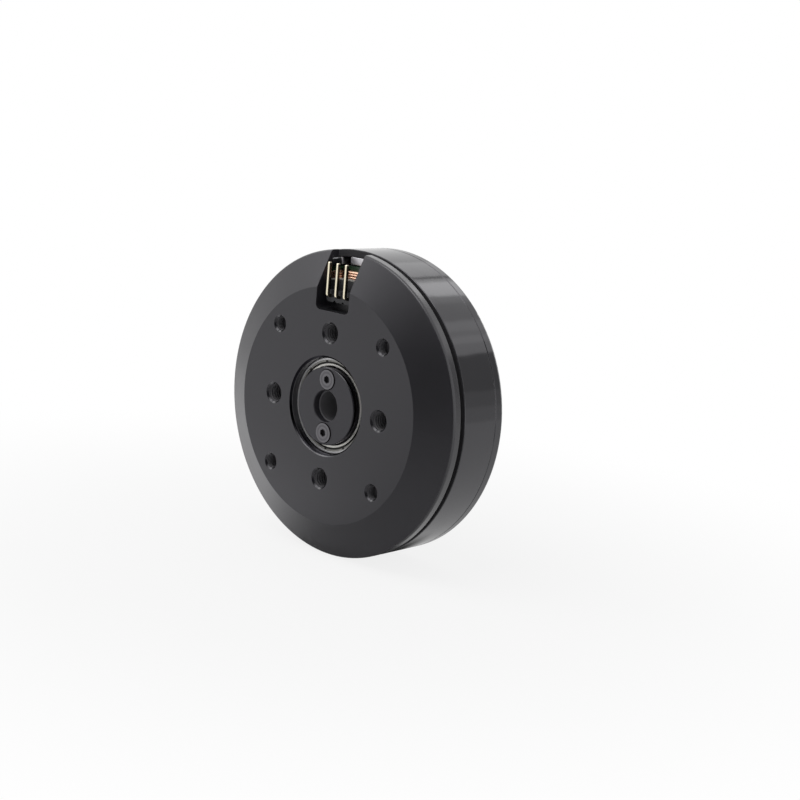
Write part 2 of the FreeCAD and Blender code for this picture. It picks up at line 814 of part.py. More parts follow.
def make_bearing(prefix, front):
    make_outer_ring(prefix, front)
    make_inner_ring(prefix, front)
    make_balls(prefix, front)
    make_cage(prefix, front)
    make_shield(prefix + "_bearing_front_shield", front, 1)
    make_shield(prefix + "_bearing_rear_shield", front + d.bearing_width, -1)


def make_bearing_spacer():
    body = new_body("bearing_spacer")
    front = d.front_bearing + d.bearing_width
    revolve(body, "spacer_turned", [
        (d.bearing_bore, front),
        (d.spacer_radius, front),
        (d.spacer_radius, d.rear_bearing),
        (d.bearing_bore, d.rear_bearing),
    ])
    return piece(body)


# Shaft, cap and its screws

def cap_screw_circles(sketch, radius):
    draw_circle(sketch, ZERO, d.cap_screw_place, radius)
    draw_circle(sketch, ZERO, -d.cap_screw_place, radius)


def make_hollow_shaft():
    """Tube with a collar against the rear bearing, pressed into the bell behind the collar."""
    body = new_body("hollow_shaft")
    revolve(body, "shaft_turned", [
        (d.shaft_bore + d.edge_break, d.front_bearing),
        (d.bearing_bore, d.front_bearing),
        (d.bearing_bore, tube_back),
        (d.shaft_collar, tube_back),
        (d.shaft_collar, d.bell_front),
        (d.bearing_bore, d.bell_front),
        (d.bearing_bore, d.bell_back),
        (d.shaft_bore + d.edge_break, d.bell_back),
        (d.shaft_bore, d.bell_back - d.edge_break),
        (d.shaft_bore, d.front_bearing + d.edge_break),
    ])
    sketch = sketch_on(body, "XZ_Plane", "shaft_thread_places", d.front_bearing)
    cap_screw_circles(sketch, d.cap_screw_thread / 2)
    mouth = d.cap_screw_thread + d.edge_break
    drill(body, "shaft_threads", sketch, d.cap_screw_thread, d.cap_thread_depth, mouth)
    return piece(body)


def make_shaft_cap():
    body = new_body("shaft_cap")
    revolve(body, "cap_turned", [
        (d.cap_bore + d.edge_break, d.cap_front),
        (d.cap_radius - d.edge_break, d.cap_front),
        (d.cap_radius, d.cap_front + d.edge_break),
        (d.cap_radius, d.front_bearing),
        (d.cap_bore, d.front_bearing),
        (d.cap_bore, d.cap_front + d.edge_break),
    ])
    sketch = sketch_on(body, "XZ_Plane", "cap_screw_places", d.cap_front)
    cap_screw_circles(sketch, d.cap_screw_hole / 2)
    drill(body, "cap_screw_holes", sketch, d.cap_screw_hole, None, 2 * d.cap_countersink)
    return piece(body)


def make_cap_screws():
    """Countersunk screws with hexagon sockets, seated on the cones of the cap."""
    body = new_body("screw_master")
    top = d.cap_front - d.cap_screw_proud
    seat = d.cap_front + d.cap_countersink - d.cap_screw_head
    neck = seat + d.cap_screw_head - d.cap_screw_shank
    revolve(body, "screw_turned", [
        (ZERO, top),
        (d.cap_screw_head - d.edge_break, top),
        (d.cap_screw_head, top + d.edge_break),
        (d.cap_screw_head, seat),
        (d.cap_screw_shank, neck),
        (d.cap_screw_shank, d.cap_screw_tip - d.edge_break),
        (d.cap_screw_shank - d.edge_break, d.cap_screw_tip),
        (ZERO, d.cap_screw_tip),
    ])
    half = d.hex_width / 2
    corner = d.hex_width / math.sqrt(3)
    sketch = sketch_on(body, "XZ_Plane", "hex_outline", top)
    draw_outline(sketch, [
        (half, corner / 2), (ZERO, corner), (-half, corner / 2),
        (-half, -corner / 2), (ZERO, -corner), (half, -corner / 2),
    ])
    pocket(body, "hex_socket", sketch, d.hex_depth)
    shapes = []
    for side in (1, -1):
        copy = body.Shape.copy()
        copy.translate(Vector(0, 0, side * d.cap_screw_place.value))
        shapes.append(copy)
    return group("cap_screws", shapes)


# Rotor drum

def make_flux_ring():
    body = new_body("flux_ring")
    revolve(body, "flux_ring_turned", [
        (drum_inside, d.drum_front),
        (d.drum_radius - d.edge_break, d.drum_front),
        (d.drum_radius, d.drum_front + d.edge_break),
        (d.drum_radius, d.drum_seam - d.edge_break),
        (d.drum_radius - d.edge_break, d.drum_seam),
        (drum_inside, d.drum_seam),
    ])
    return piece(body)


def make_rotor_bell():
    body = new_body("rotor_bell")
    spigot_inside = drum_inside - d.spigot_wall
    turned = revolve(body, "bell_turned", [
        (d.bearing_bore, d.bell_front),
        (spigot_inside, d.bell_front),
        (spigot_inside, d.spigot_front),
        (drum_inside, d.spigot_front),
        (drum_inside, d.drum_seam),
        (d.drum_radius - d.edge_break, d.drum_seam),
        (d.drum_radius, d.drum_seam + d.edge_break),
        (d.drum_radius, d.bell_back),
        (d.bearing_bore, d.bell_back),
    ])
    fillet(body, "bell_rounded", turned, circle_at(d.drum_radius, d.bell_back), d.bell_fillet)
    sketch = sketch_on(body, "XZ_Plane", "output_hole_places", d.bell_back)
    four_on_circle(sketch, d.output_hole_circle, d.small_hole / 2, diagonal=False)
    mouth = d.small_hole + d.hole_mouth
    drill(body, "output_holes", sketch, d.small_hole, None, mouth, from_back=True)
    return piece(body)


def make_magnets():
    """Blocks with a flat inner face, seated on the curve of the steel ring. One is on +Z."""
    block = doc.addObject("Part::Box", "magnet_block")
    bind(block, "Length", d.magnet_width)
    bind(block, "Width", d.magnet_length)
    bind(block, "Height", drum_inside - d.magnet_inner)
    corner = Vector(-d.magnet_width.value / 2, d.magnet_front.value, d.magnet_inner.value)
    block.Placement = Placement(corner, Rotation())
    seat = doc.addObject("Part::Cylinder", "magnet_seat")
    bind(seat, "Radius", drum_inside)
    bind(seat, "Height", d.bell_back)
    seat.Placement = Placement(Vector(), ONTO_MOTOR_AXIS)
    magnet = doc.addObject("Part::Common", "magnet_master")
    magnet.Base = block
    magnet.Tool = seat
    doc.recompute()
    return ring_of("magnets", magnet, d.magnet_count, d.magnet_turn)


def make_motor():
    make_stator_base()
    make_lamination("stator_end_plate_front", d.boss_back, d.end_plate)
    make_lamination("stator_core", core_front, d.core_length)
    make_lamination("stator_end_plate_rear", core_back, d.end_plate)
    make_windings()
    make_terminal_board()
    make_header_body()
    make_header_pins()
    make_bearing("front", d.front_bearing)
    make_bearing("rear", d.rear_bearing)
    make_bearing_spacer()
    make_hollow_shaft()
    make_shaft_cap()
    make_cap_screws()
    make_flux_ring()
    make_rotor_bell()
    make_magnets()
    doc.recompute()


def check_document():
    for obj in doc.Objects:
        if "Invalid" in obj.State or "Error" in obj.State:
            raise RuntimeError(obj.Label + " failed: " + str(obj.State))
    for obj in pieces:
        if obj.Shape.isNull() or not obj.Shape.isValid():
            raise RuntimeError(obj.Label + " has no valid shape")


def write_pieces():
    os.makedirs("parts", exist_ok=True)
    for obj in pieces:
        obj.Shape.exportStep(os.path.join("parts", obj.Label + ".step"))
        print(obj.Label, len(obj.Shape.Solids), "solids", round(obj.Shape.Volume, 3), "mm3")


make_motor()
check_document()
write_pieces()
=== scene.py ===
"""Looks of a hollow-shaft gimbal motor: finishes, wound wire, magnets, threads and a small studio.

Everything is in metres in the frame of the CAD part. Y runs along the motor axis from the mounting
face to the back, +Z runs up through the connector slot and X runs across.
"""
import json
import math
import random

import bmesh
import bpy
from bpy.props import FloatProperty, FloatVectorProperty, IntProperty, PointerProperty
from mathutils import Matrix, Vector


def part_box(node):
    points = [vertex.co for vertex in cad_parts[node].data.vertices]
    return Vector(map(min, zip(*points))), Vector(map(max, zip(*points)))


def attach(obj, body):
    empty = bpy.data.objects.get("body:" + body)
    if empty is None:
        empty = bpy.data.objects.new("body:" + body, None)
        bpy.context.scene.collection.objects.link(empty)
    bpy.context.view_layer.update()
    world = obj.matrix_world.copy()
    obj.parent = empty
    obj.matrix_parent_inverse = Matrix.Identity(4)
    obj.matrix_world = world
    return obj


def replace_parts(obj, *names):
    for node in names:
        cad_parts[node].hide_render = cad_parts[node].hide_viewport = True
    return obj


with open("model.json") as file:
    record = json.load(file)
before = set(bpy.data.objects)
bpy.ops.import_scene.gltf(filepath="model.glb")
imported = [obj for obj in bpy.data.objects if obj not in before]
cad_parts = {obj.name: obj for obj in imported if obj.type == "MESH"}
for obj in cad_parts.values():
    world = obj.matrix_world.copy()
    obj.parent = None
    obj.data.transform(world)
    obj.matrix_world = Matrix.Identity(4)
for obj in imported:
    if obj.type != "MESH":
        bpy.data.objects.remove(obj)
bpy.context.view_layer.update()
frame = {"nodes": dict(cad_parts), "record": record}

bl_info = {
    "name": "Gimbal motor",
    "version": (1, 0, 0),
    "blender": (4, 5, 0),
    "location": "View3D > Sidebar > Gimbal motor",
    "description": "Finishes, windings, magnets and threads of a hollow-shaft gimbal motor",
    "category": "Object",
}

MM = 0.001
QUARTER_TURN = math.pi / 2
FULL_TURN = 2 * math.pi
AXIS = (0.0, 1.0, 0.0)
CENTRE = (0.0, 0.0, 0.0)
WHITE = (1.0, 1.0, 1.0, 1.0)
BLACK = (0.0, 0.0, 0.0, 1.0)
COOL = (0.96, 0.945, 1.0, 1.0)
FACE_SKIN = 0.05 * MM
SENSOR_WIDTH = 36.0
NEAREST_SEEN = 0.01
FLOOR_RADIUS = 4.0
FLOOR_FADE = (0.04, 0.16)
BAR_DEPTHS = (-0.02, 0.05)
BAR_DISTANCE = 0.3
PHASES = ("phase_u_coils", "phase_v_coils", "phase_w_coils")


# Settings

def length(name, description, default):
    return FloatProperty(name=name, description=description, default=default, unit="LENGTH", precision=5)


def share(name, description, default):
    return FloatProperty(
        name=name, description=description, default=default, min=0.0, max=1.0, subtype="FACTOR")


def colour(name, description, default):
    return FloatVectorProperty(
        name=name, description=description, default=default, min=0.0, max=1.0, size=3, subtype="COLOR")


def point(name, description, default):
    return FloatVectorProperty(
        name=name, description=description, default=default, size=3, subtype="TRANSLATION", unit="LENGTH")


def angle(name, description, default):
    return FloatProperty(name=name, description=description, default=default, subtype="ANGLE")


class BodySettings(bpy.types.PropertyGroup):
    """Finishes of the base, the drum and the shaft."""

    base: colour("Base", "Blasted black anodising of the base", (0.0112, 0.0108, 0.0134))
    base_roughness: share("Base roughness", "How dull the base is", 0.42)
    cap: colour("Cap", "Turned black anodising of the shaft cap", (0.0210, 0.0202, 0.0245))
    drum: colour("Drum", "Black coat of the steel ring", (0.0120, 0.0120, 0.0140))
    drum_roughness: share("Drum roughness", "How dull the coat of the ring is", 0.10)
    bore: colour("Bores", "Dull black inside the holes and the shaft", (0.112, 0.110, 0.117))
    screw: colour("Screws", "Black oxide of the cap screws", (0.1300, 0.1270, 0.1360))
    screw_edge: length("Screw edge", "Radius where the edge of a screw's head begins", 2.13 * MM)
    screw_ring: length("Screw ring", "Radius where the bright ring of a screw's head begins", 1.79 * MM)
    screw_pitch: length("Screw pitch", "Distance between the rings of a screw's head", 0.85 * MM)
    screw_place: length("Screw place", "Distance of a cap screw from the motor axis", 5.85 * MM)
    bell_back: length("Bell back", "Depth of the back of the bell", 19.6 * MM)
    drum_radius: length("Drum radius", "Radius outside the steel ring", 33.6 * MM)
    drum_front: length("Drum front", "Depth of the front edge of the steel ring", 7.1 * MM)
    rim_band: length("Rim band", "Radius beyond which the base is turned smooth", 33.35 * MM)
    cap_edge: length("Cap edge", "Radius where the cap's edge begins", 8.29 * MM)
    cap_side: length("Cap side", "Depth where the side of the cap begins", 0.4 * MM)
    edge: length("Edge softness", "Radius over which machined edges catch the light", 0.14 * MM)


class BearingSettings(bpy.types.PropertyGroup):
    """Finishes of the two bearings."""

    ring: colour("Rings", "Ground steel of the rings", (0.68, 0.68, 0.69))
    shield: colour("Shields", "Pressed sheet of the shields", (0.27, 0.265, 0.25))
    # The lips' bright colour is a painted highlight.
    lip: colour("Lips", "Bright rolled lips of the shields", (0.74, 0.73, 0.69))
    # Colour of the grease under the shields, also used for painted shade in the shields' dishes, round
    # their notches and on the inner rings' faces.
    grease: colour("Grease", "Old grease in the grooves", (0.022, 0.021, 0.019))
    lip_outside: length("Lip outside", "Radius outside a shield's lip", 9.14 * MM)
    dish_outside: length("Dish outside", "Radius outside the dish of a shield", 9.58 * MM)
    notch_end: length("Notch end", "Radius where the notches of a shield end", 9.82 * MM)
    notch_count: IntProperty(name="Notches", description="Notches round a shield", default=11, min=1)
    notch_turn: angle("Notch turn", "Turn of the first notch from the top", math.radians(-12.6))
    # Within this radius the inner rings' faces get painted shade.
    shaded_inner_face: length("Inner face", "Radius outside the oiled faces of the inner rings", 8.66 * MM)
    flange_outside: length("Flange outside", "Radius outside a shield's flange", 9.94 * MM)
    ball: colour("Balls", "Polished steel of the balls", (0.74, 0.74, 0.74))


class ThreadSettings(bpy.types.PropertyGroup):
    """Sizes of the cut threads in the holes."""

    large_radius: length("Large thread", "Radius of the large holes in the base", 2.0 * MM)
    large_circle: length("Large circle", "Radius of the circle of large holes", 16.0 * MM)
    large_pitch: length("Large pitch", "Rise of a large thread in one turn", 0.7 * MM)
    large_end: length("Large end", "Depth where the large threads end", 6.6 * MM)
    small_radius: length("Small thread", "Radius of the small holes", 1.5 * MM)
    small_circle: length("Small circle", "Radius of the circle of small holes in the base", 22.0 * MM)
    small_pitch: length("Small pitch", "Rise of a small thread in one turn", 0.5 * MM)
    small_end: length("Small end", "Depth where the small threads end", 2.7 * MM)
    start: length("Start", "Depth of the first turn below a face", 0.5 * MM)
    mouth: length("Mouth", "Width of the chamfer at a hole's mouth", 0.4 * MM)
    seat: length("Bearing seat", "Radius of the mouth of the bearing seat", 10.98 * MM)
    seat_chamfer: length("Seat chamfer", "Width of the chamfer at the mouth of the seat", 0.42 * MM)
    seat_glint: length("Seat glint", "Width of the lit strip of that chamfer", 0.24 * MM)
    output_circle: length("Output circle", "Radius of the circle of holes in the back", 12.5 * MM)
    output_front: length("Output front", "Depth of the inner side of the bell", 17.35 * MM)
    output_back: length("Output back", "Depth of the back of the bell", 19.6 * MM)


class WindingSettings(bpy.types.PropertyGroup):
    """Sizes and colour of the wound wire."""

    tooth_count: IntProperty(name="Teeth", description="Teeth of the core", default=24, min=3)
    tooth_width: length("Tooth width", "Width of a tooth", 3.4 * MM)
    stack_front: length("Stack front", "Depth of the front of the end plates", 6.9 * MM)
    stack_back: length("Stack back", "Depth of the back of the end plates", 15.1 * MM)
    first_turn: length("First turn", "Distance of the innermost turn from the axis", 22.08 * MM)
    last_turn: length("Last turn", "Distance of the outermost turn from the axis", 28.69 * MM)
    wire_radius: length("Wire radius", "Radius of the enamelled wire", 0.255 * MM)
    fit: length("Fit", "Gap between the first layer and the tooth", 0.05 * MM)
    spread: length("Unevenness", "How far a turn strays from its place", 0.035 * MM)
    copper: colour("Copper", "Enamelled copper", (0.96, 0.58, 0.42))


class CoreSettings(bpy.types.PropertyGroup):
    """Finishes of the core and its end plates, and sizes of the magnets."""

    steel: colour("Sheets", "Edges of the stacked steel sheets", (0.25, 0.25, 0.26))
    sheet: length("Sheet", "Thickness of one steel sheet", 0.35 * MM)
    plate: colour("End plates", "Green glass fibre of the end plates", (0.010, 0.040, 0.014))
    magnet: colour("Magnets", "Nickel plating of the magnets", (0.80, 0.79, 0.82))
    magnet_count: IntProperty(name="Magnets", description="Magnets in the drum", default=28, min=2)
    magnet_width: length("Magnet width", "Width of a magnet", 4.5 * MM)
    magnet_length: length("Magnet length", "Length of a magnet along the axis", 8.45 * MM)
    magnet_inner: length("Magnet inner face", "Distance of the inner faces from the axis", 30.25 * MM)
    magnet_outer: length("Magnet outer face", "Distance of the outer faces from the axis", 31.92 * MM)
    magnet_front: length("Magnet front", "Depth of the front of the magnets", 7.15 * MM)
    # The last magnet's darker colour, and the widths of the two strips on it that keep the plating.
    glue: colour("Glue", "Black glue over the last magnet", (0.010, 0.010, 0.012))
    plain_side_strip: length("Glue gap", "Strip of the last magnet that the glue leaves bare", 0.4 * MM)
    plain_outer_strip: length("Glue rim", "The same below the outer face", 0.3 * MM)
    magnet_edge: length("Magnet edge", "Rounding of a magnet's edges", 0.16 * MM)
    magnet_turn: angle("Magnet turn", "Turn of the first magnet from the top", math.radians(-0.37))


class ConnectorSettings(bpy.types.PropertyGroup):
    """Finishes of the terminal board, the header and its pins."""

    board: colour("Board", "Black lacquer of the board", (0.016, 0.016, 0.019))
    board_edge: colour("Board edge", "Cut glass fibre at the edge of the board", (0.42, 0.40, 0.37))
    board_outer: length("Board outside", "Radius outside the board", 27.4 * MM)
    board_bare: length("Bare edge", "Width of the bare fibre at the edge of the board", 0.36 * MM)
    header: colour("Header", "Moulded plastic of the header", (0.020, 0.020, 0.024))
    pin: colour("Pins", "Thin gold plating of the pins", (0.90, 0.82, 0.63))
    pin_pitch: length("Pin pitch", "Distance between two pins", 2.54 * MM)
    pin_width: length("Pin width", "Width of a square pin", 0.64 * MM)


class StudioSettings(bpy.types.PropertyGroup):
    """Camera, floor and lights."""

    camera: point("Camera", "Place of the camera", (238.756 * MM, -242.094 * MM, 69.681 * MM))
    azimuth: angle("Azimuth", "Turn of the camera round the motor", math.radians(41.897))
    elevation: angle("Elevation", "Height of the camera over the horizon", math.radians(11.143))
    roll: angle("Roll", "Tilt of the camera about its own line of sight", math.radians(4.792))
    lens: FloatProperty(
        name="Lens", description="Focal length on a 36 mm sensor, in millimetres", default=72.55)
    floor: colour("Floor", "Pale floor", (0.86, 0.86, 0.86))
    floor_glow: share("Floor glow", "How much of the floor near the motor is plain white", 0.84)
    mirror_glow: share("Mirrored glow", "The same as seen in shiny surfaces", 0.15)
    ambient: FloatProperty(name="Ambient", description="Light from all sides", default=0.45, min=0.0)


class MotorSettings(bpy.types.PropertyGroup):
    """All settings of the motor."""

    body: PointerProperty(type=BodySettings)
    bearing: PointerProperty(type=BearingSettings)
    thread: PointerProperty(type=ThreadSettings)
    winding: PointerProperty(type=WindingSettings)
    core: PointerProperty(type=CoreSettings)
    connector: PointerProperty(type=ConnectorSettings)
    studio: PointerProperty(type=StudioSettings)


# Finishes

def adds(operation):
    """An operator of a field that adds a Math node."""
    return lambda field, other: field.math(operation, other)


class Field:
    """An output of a node. Sums of fields and numbers add Math nodes."""

    def __init__(self, nodes, socket):
        self.nodes = nodes
        self.socket = socket

    def math(self, operation, *others):
        return self.nodes.math(operation, self, *others)

    __add__ = __radd__ = adds("ADD")
    __sub__ = adds("SUBTRACT")
    __mul__ = __rmul__ = adds("MULTIPLY")
    __truediv__ = adds("DIVIDE")
    __pow__ = adds("POWER")
    __gt__ = adds("GREATER_THAN")
    __lt__ = adds("LESS_THAN")

    def __rsub__(self, other):
        return self.nodes.math("SUBTRACT", other, self)

    def __abs__(self):
        return self.math("ABSOLUTE")

    def output(self, name):
        return Field(self.nodes, self.socket.node.outputs[name])


class Nodes:
    """A node tree under construction."""

    def __init__(self, tree):
        self.tree = tree

    def node(self, kind, settings=None, inputs=None, output=0):
        """Add a node: its settings first, then the values or links of its sockets."""
        node = self.tree.nodes.new(kind)
        for name, value in (settings or {}).items():
            setattr(node, name, value)
        for key, value in (inputs or {}).items():
            self.feed(find_socket(node.inputs, key), value)
        return Field(self, find_socket(node.outputs, output))

    def feed(self, socket, value):
        if isinstance(value, Field):
            self.tree.links.new(value.socket, socket)
        else:
            socket.default_value = value

    def math(self, operation, *values):
        return self.node("ShaderNodeMath", {"operation": operation}, dict(enumerate(values)))

    def sight(self):
        """1 for what the camera sees itself, and 1 for what it sees in mirrors and through glass."""
        path = self.node("ShaderNodeLightPath", None, None, "Is Camera Ray")
        return path, path.output("Is Glossy Ray").math("MAXIMUM", path.output("Is Transmission Ray"))

    def show(self, output, factor, first, second):
        """Let a mix of two shaders be what the tree shows."""
        mix = self.node("ShaderNodeMixShader", None, {0: factor, 1: first, 2: second})
        self.feed(self.tree.nodes[output].inputs["Surface"], mix)


class Finish(Nodes):
    """A material under construction."""

    def __init__(self, name):
        self.material = bpy.data.materials.new(name)
        self.material.use_nodes = True
        super().__init__(self.material.node_tree)
        self.shader = Field(self, self.tree.nodes["Principled BSDF"].outputs["BSDF"])
        self.place = self.node("ShaderNodeTexCoord").output("Object")
        self.parts = self.node("ShaderNodeSeparateXYZ", None, {"Vector": self.place})

    def surface(self, inputs):
        for key, value in inputs.items():
            self.feed(self.shader.socket.node.inputs[key], value)
        return self.material

    def noise(self, cells, detail=2.0, stretch=None):
        """Cloudy pattern from 0 to 1, with a number of cells to the metre."""
        place = self.place
        if stretch is not None:
            place = self.node("ShaderNodeMapping", None, {"Vector": place, "Scale": stretch})
        return self.node("ShaderNodeTexNoise", None, {"Vector": place, "Scale": cells, "Detail": detail})

    def across(self):
        """Distance to the right of the motor axis."""
        return self.parts.output("X")

    def height(self):
        """Distance above the motor axis."""
        return self.parts.output("Z")

    def radius(self):
        """Distance from the motor axis."""
        return span(self.across(), self.height())

    def depth(self):
        """Distance behind the mounting face."""
        return self.parts.output("Y")

    def waves(self, distance, pitch):
        """Ridges from -1 to 1, one to each pitch."""
        return (distance * (FULL_TURN / pitch)).math("SINE")

    def blend(self, factor, first, second):
        inputs = {"Factor_Float": factor, "A_Color": opaque(first), "B_Color": opaque(second)}
        return self.node("ShaderNodeMix", {"data_type": "RGBA"}, inputs, "Result_Color")

    def tint(self, factor, value, first, second):
        """A colour between two shades of a plain one."""
        return self.blend(factor, shade(value, first), shade(value, second))

    def ramp(self, value, first, last, start=0.0):
        """From a share at the first value smoothly to 1 at the last."""
        return self.node(
            "ShaderNodeMapRange", {"interpolation_type": "SMOOTHSTEP"},
            {"Value": value, "From Min": first, "From Max": last, "To Min": start})

    def bump(self, height, distance, edge=None):
        inputs = {"Height": height, "Distance": distance}
        if edge is not None:
            inputs["Normal"] = self.node("ShaderNodeBevel", {"samples": 6}, {"Radius": edge})
        return self.node("ShaderNodeBump", None, inputs)


def find_socket(sockets, key):
    if isinstance(key, int):
        return sockets[key]
    for socket in sockets:
        if key in (socket.identifier, socket.name):
            return socket
    raise KeyError(key)


def span(across, along):
    """Length of the diagonal over two distances."""
    return (across * across + along * along) ** 0.5


def opaque(value):
    """A plain colour with full alpha. A field passes through."""
    if isinstance(value, Field) or len(value) == 4:
        return value
    return (*value, 1.0)


def shade(value, amount):
    """A plain colour made lighter or darker."""
    return tuple(min(1.0, channel * amount) for channel in value)


def drilled(finish, threads):
    """1 in the mouths of the base's tapped holes, which are cut after the blasting."""
    across = abs(finish.across())
    along = abs(finish.height())
    far = across.math("MAXIMUM", along) - threads.large_circle
    near = across.math("MINIMUM", along)
    diagonal = threads.small_circle * math.sqrt(0.5)
    large = span(far, near) < threads.large_radius + threads.mouth
    small = span(across - diagonal, along - diagonal) < threads.small_radius + threads.mouth
    return large.math("MAXIMUM", small)


def blasted_anodise(name, settings, threads):
    """Black anodising over a fine blasted surface, smooth where holes, seats and the rim are cut, with
    painted shade in the bearing seat and a painted highlight on a strip of its chamfer.
    """
    finish = Finish(name)
    cloud = finish.noise(cells=140, detail=3.0)
    grain = finish.noise(cells=7000)
    out = finish.radius()
    holes = drilled(finish, threads)
    seat = out < threads.seat
    # Painted shade in the bearing seat: the chamfer, and low down the whole wall, are dark and metallic,
    # except a strip at the outer edge of the lower chamfer, which is left lighter as a painted highlight.
    dusk, dark = -0.4 * threads.seat, -0.85 * threads.seat
    low = finish.ramp(finish.height(), dusk, dark)
    mouth = out > threads.seat - threads.seat_chamfer
    lit = low * (out > threads.seat - threads.seat_glint)
    painted_seat_shade = seat * low.math("MAXIMUM", mouth) * (1.0 - lit)
    cut = holes.math("MAXIMUM", seat)
    deep = holes * (finish.depth() > threads.mouth)
    band_end = -0.8 * settings.rim_band
    band = (out > settings.rim_band) * (finish.height() > band_end)
    bare = finish.blend(deep + (seat - painted_seat_shade) * 0.45, shade(settings.base, 0.9), settings.bore)
    tint = finish.tint(cloud * 0.7 + grain * 0.3, settings.base, 0.86, 1.14)
    roughness = settings.base_roughness - 0.06 + cloud * 0.06 + grain * 0.06
    return finish.surface({
        "Base Color": finish.blend(cut, tint, bare),
        "Metallic": painted_seat_shade,
        "Specular IOR Level": 0.63,
        "Specular Tint": COOL,
        "Roughness": roughness - cut * 0.2 + deep * 0.4 - band * 0.18,
        "Coat Weight": band * 0.5,
        "Coat Roughness": 0.2,
        "Normal": finish.bump(grain * (1.0 - cut), distance=0.006 * MM, edge=settings.edge),
    })


def turned_anodise(name, value, roughness, pitch, edge, smooth_from=1.0, side_from=0.0):
    """Black anodising over the rings that a lathe leaves, shinier beyond a radius, with painted shade on
    the side.
    """
    finish = Finish(name)
    out = finish.radius()
    edge_of_face = out > smooth_from
    # Painted shade: the side of the cap is metallic, so that its dark colour reflects little.
    side = edge_of_face * (finish.depth() > side_from)
    cloud = finish.noise(cells=260, detail=3.0)
    stray = cloud * (0.3 * pitch)
    rings = finish.waves(out + stray, pitch)
    worn = finish.waves(finish.depth() + stray, pitch)
    return finish.surface({
        "Base Color": finish.tint(cloud + rings * 0.12, value, 0.88, 1.12),
        "Metallic": side,
        "Specular Tint": COOL,
        "Roughness": roughness + rings * 0.03 + cloud * 0.05 - edge_of_face * 0.22,
        "Normal": finish.bump(rings + worn, distance=0.0012 * MM, edge=edge),
    })


def coated_steel(name, settings):
    """Smooth black coat with faint lines round the drum, turned rings on its back and a dull front edge
    darkened as painted shade.
    """
    finish = Finish(name)
    cloud = finish.noise(cells=90, detail=3.0)
    swell = finish.noise(cells=70)
    lines = finish.noise(cells=600, detail=3.0, stretch=(0.15, 12.0, 0.15))
    back = finish.depth() > settings.bell_back - FACE_SKIN
    # Painted shade: the front edge of the ring gets half the coat's colour and is made rough.
    front = finish.depth() < settings.drum_front + FACE_SKIN
    stray = cloud * (0.05 * MM)
    rings = finish.waves(finish.radius() + stray, pitch=0.16 * MM) * back
    tint = finish.tint(cloud, settings.drum, 0.9, 1.1)
    return finish.surface({
        "Base Color": finish.blend(front, tint, shade(settings.drum, 0.5)),
        "Roughness": settings.drum_roughness - 0.03 + lines * 0.06 + back * 0.08 + front * 0.75,
        "Specular IOR Level": 0.93,
        "Specular Tint": COOL,
        "Normal": finish.bump(lines + rings + swell * 60.0, distance=0.0015 * MM, edge=settings.edge),
    })


def oxide_screw(name, settings):
    """Black oxide on a screw, with the rings of its turning round each head and painted shade on the side
    of each head.
    """
    finish = Finish(name)
    cloud = finish.noise(cells=900, detail=3.0)
    grain = finish.noise(cells=9000)
    out = span(finish.across(), abs(finish.height()) - settings.screw_place)
    stray = cloud * (0.1 * MM)
    rings = finish.waves(out - settings.screw_ring + stray, settings.screw_pitch)
    # Painted shade: the side of each head is nearly black and rough.
    side = out > settings.screw_edge
    tint = finish.tint(cloud * 0.4 + rings * 0.4 + 0.3, settings.screw, 0.8, 1.3)
    return finish.surface({
        "Base Color": finish.blend(side, tint, shade(settings.screw, 0.1)),
        "Metallic": 1.0,
        "Roughness": 0.36 + grain * 0.14 + side * 0.4,
        "Normal": finish.bump(grain + rings, distance=0.004 * MM, edge=0.08 * MM),
    })


def ground_steel(name, value, roughness, pitch, settings):
    """Bright steel with fine concentric grinding lines, dark with grease under the shields and with painted
    shade on the faces of the inner rings.
    """
    finish = Finish(name)
    cloud = finish.noise(cells=500, detail=3.0)
    out = finish.radius()
    lines = finish.waves(out + cloud * (0.2 * pitch), pitch)
    # Dark under the shields, where the grease is, and on the faces of the inner rings as painted shade.
    under = (out > settings.lip_outside) * (out < settings.flange_outside)
    greased_and_shaded = under + (out < settings.shaded_inner_face) * 0.86
    tint = finish.tint(cloud * 0.8 + lines * 0.1, value, 0.84, 1.1)
    return finish.surface({
        "Base Color": finish.blend(greased_and_shaded, tint, settings.grease),
        "Metallic": 0.45,
        "Roughness": roughness + lines * 0.04 + cloud * 0.06,
        "Normal": finish.bump(lines, distance=0.0012 * MM, edge=0.1 * MM),
    })


def pressed_shield(name, settings):
    """Pressed sheet with a dull flange, a lip painted bright as a highlight, and painted shade in the dish
    between them and round the notches, in the colour of grease.
    """
    finish = Finish(name)
    cloud = finish.noise(cells=700, detail=3.0)
    out = finish.radius()
    stray = cloud * (0.02 * MM)
    lines = finish.waves(out + stray, pitch=0.08 * MM)
    lip = out < settings.lip_outside
    turned = finish.math("ARCTAN2", finish.across(), finish.height()) - settings.notch_turn
    # Painted shade in the dish and round the notches, in the colour of grease.
    notched = (turned * settings.notch_count).math("COSINE") > 0.94
    dark = (out < settings.dish_outside).math("MAXIMUM", notched)
    dish = dark * (out < settings.notch_end) - lip
    sheet = finish.tint(cloud * 0.8 + lines * 0.1, settings.shield, 0.8, 1.15)
    pressed = finish.blend(dish, sheet, settings.grease)
    return finish.surface({
        # The lip's bright colour is a painted highlight.
        "Base Color": finish.blend(lip, pressed, settings.lip),
        "Metallic": 0.6 - lip * 0.2,
        "Roughness": 0.3 + cloud * 0.08 - lip * 0.06,
        "Normal": finish.bump(lines, distance=0.001 * MM, edge=0.05 * MM),
    })


def polished_steel(name, value):
    """Mirror finish with faint smears."""
    finish = Finish(name)
    smear = finish.noise(cells=1400, detail=3.0)
    return finish.surface({
        "Base Color": finish.tint(smear, value, 0.92, 1.0),
        "Metallic": 1.0,
        "Roughness": 0.06 + smear * 0.08,
    })


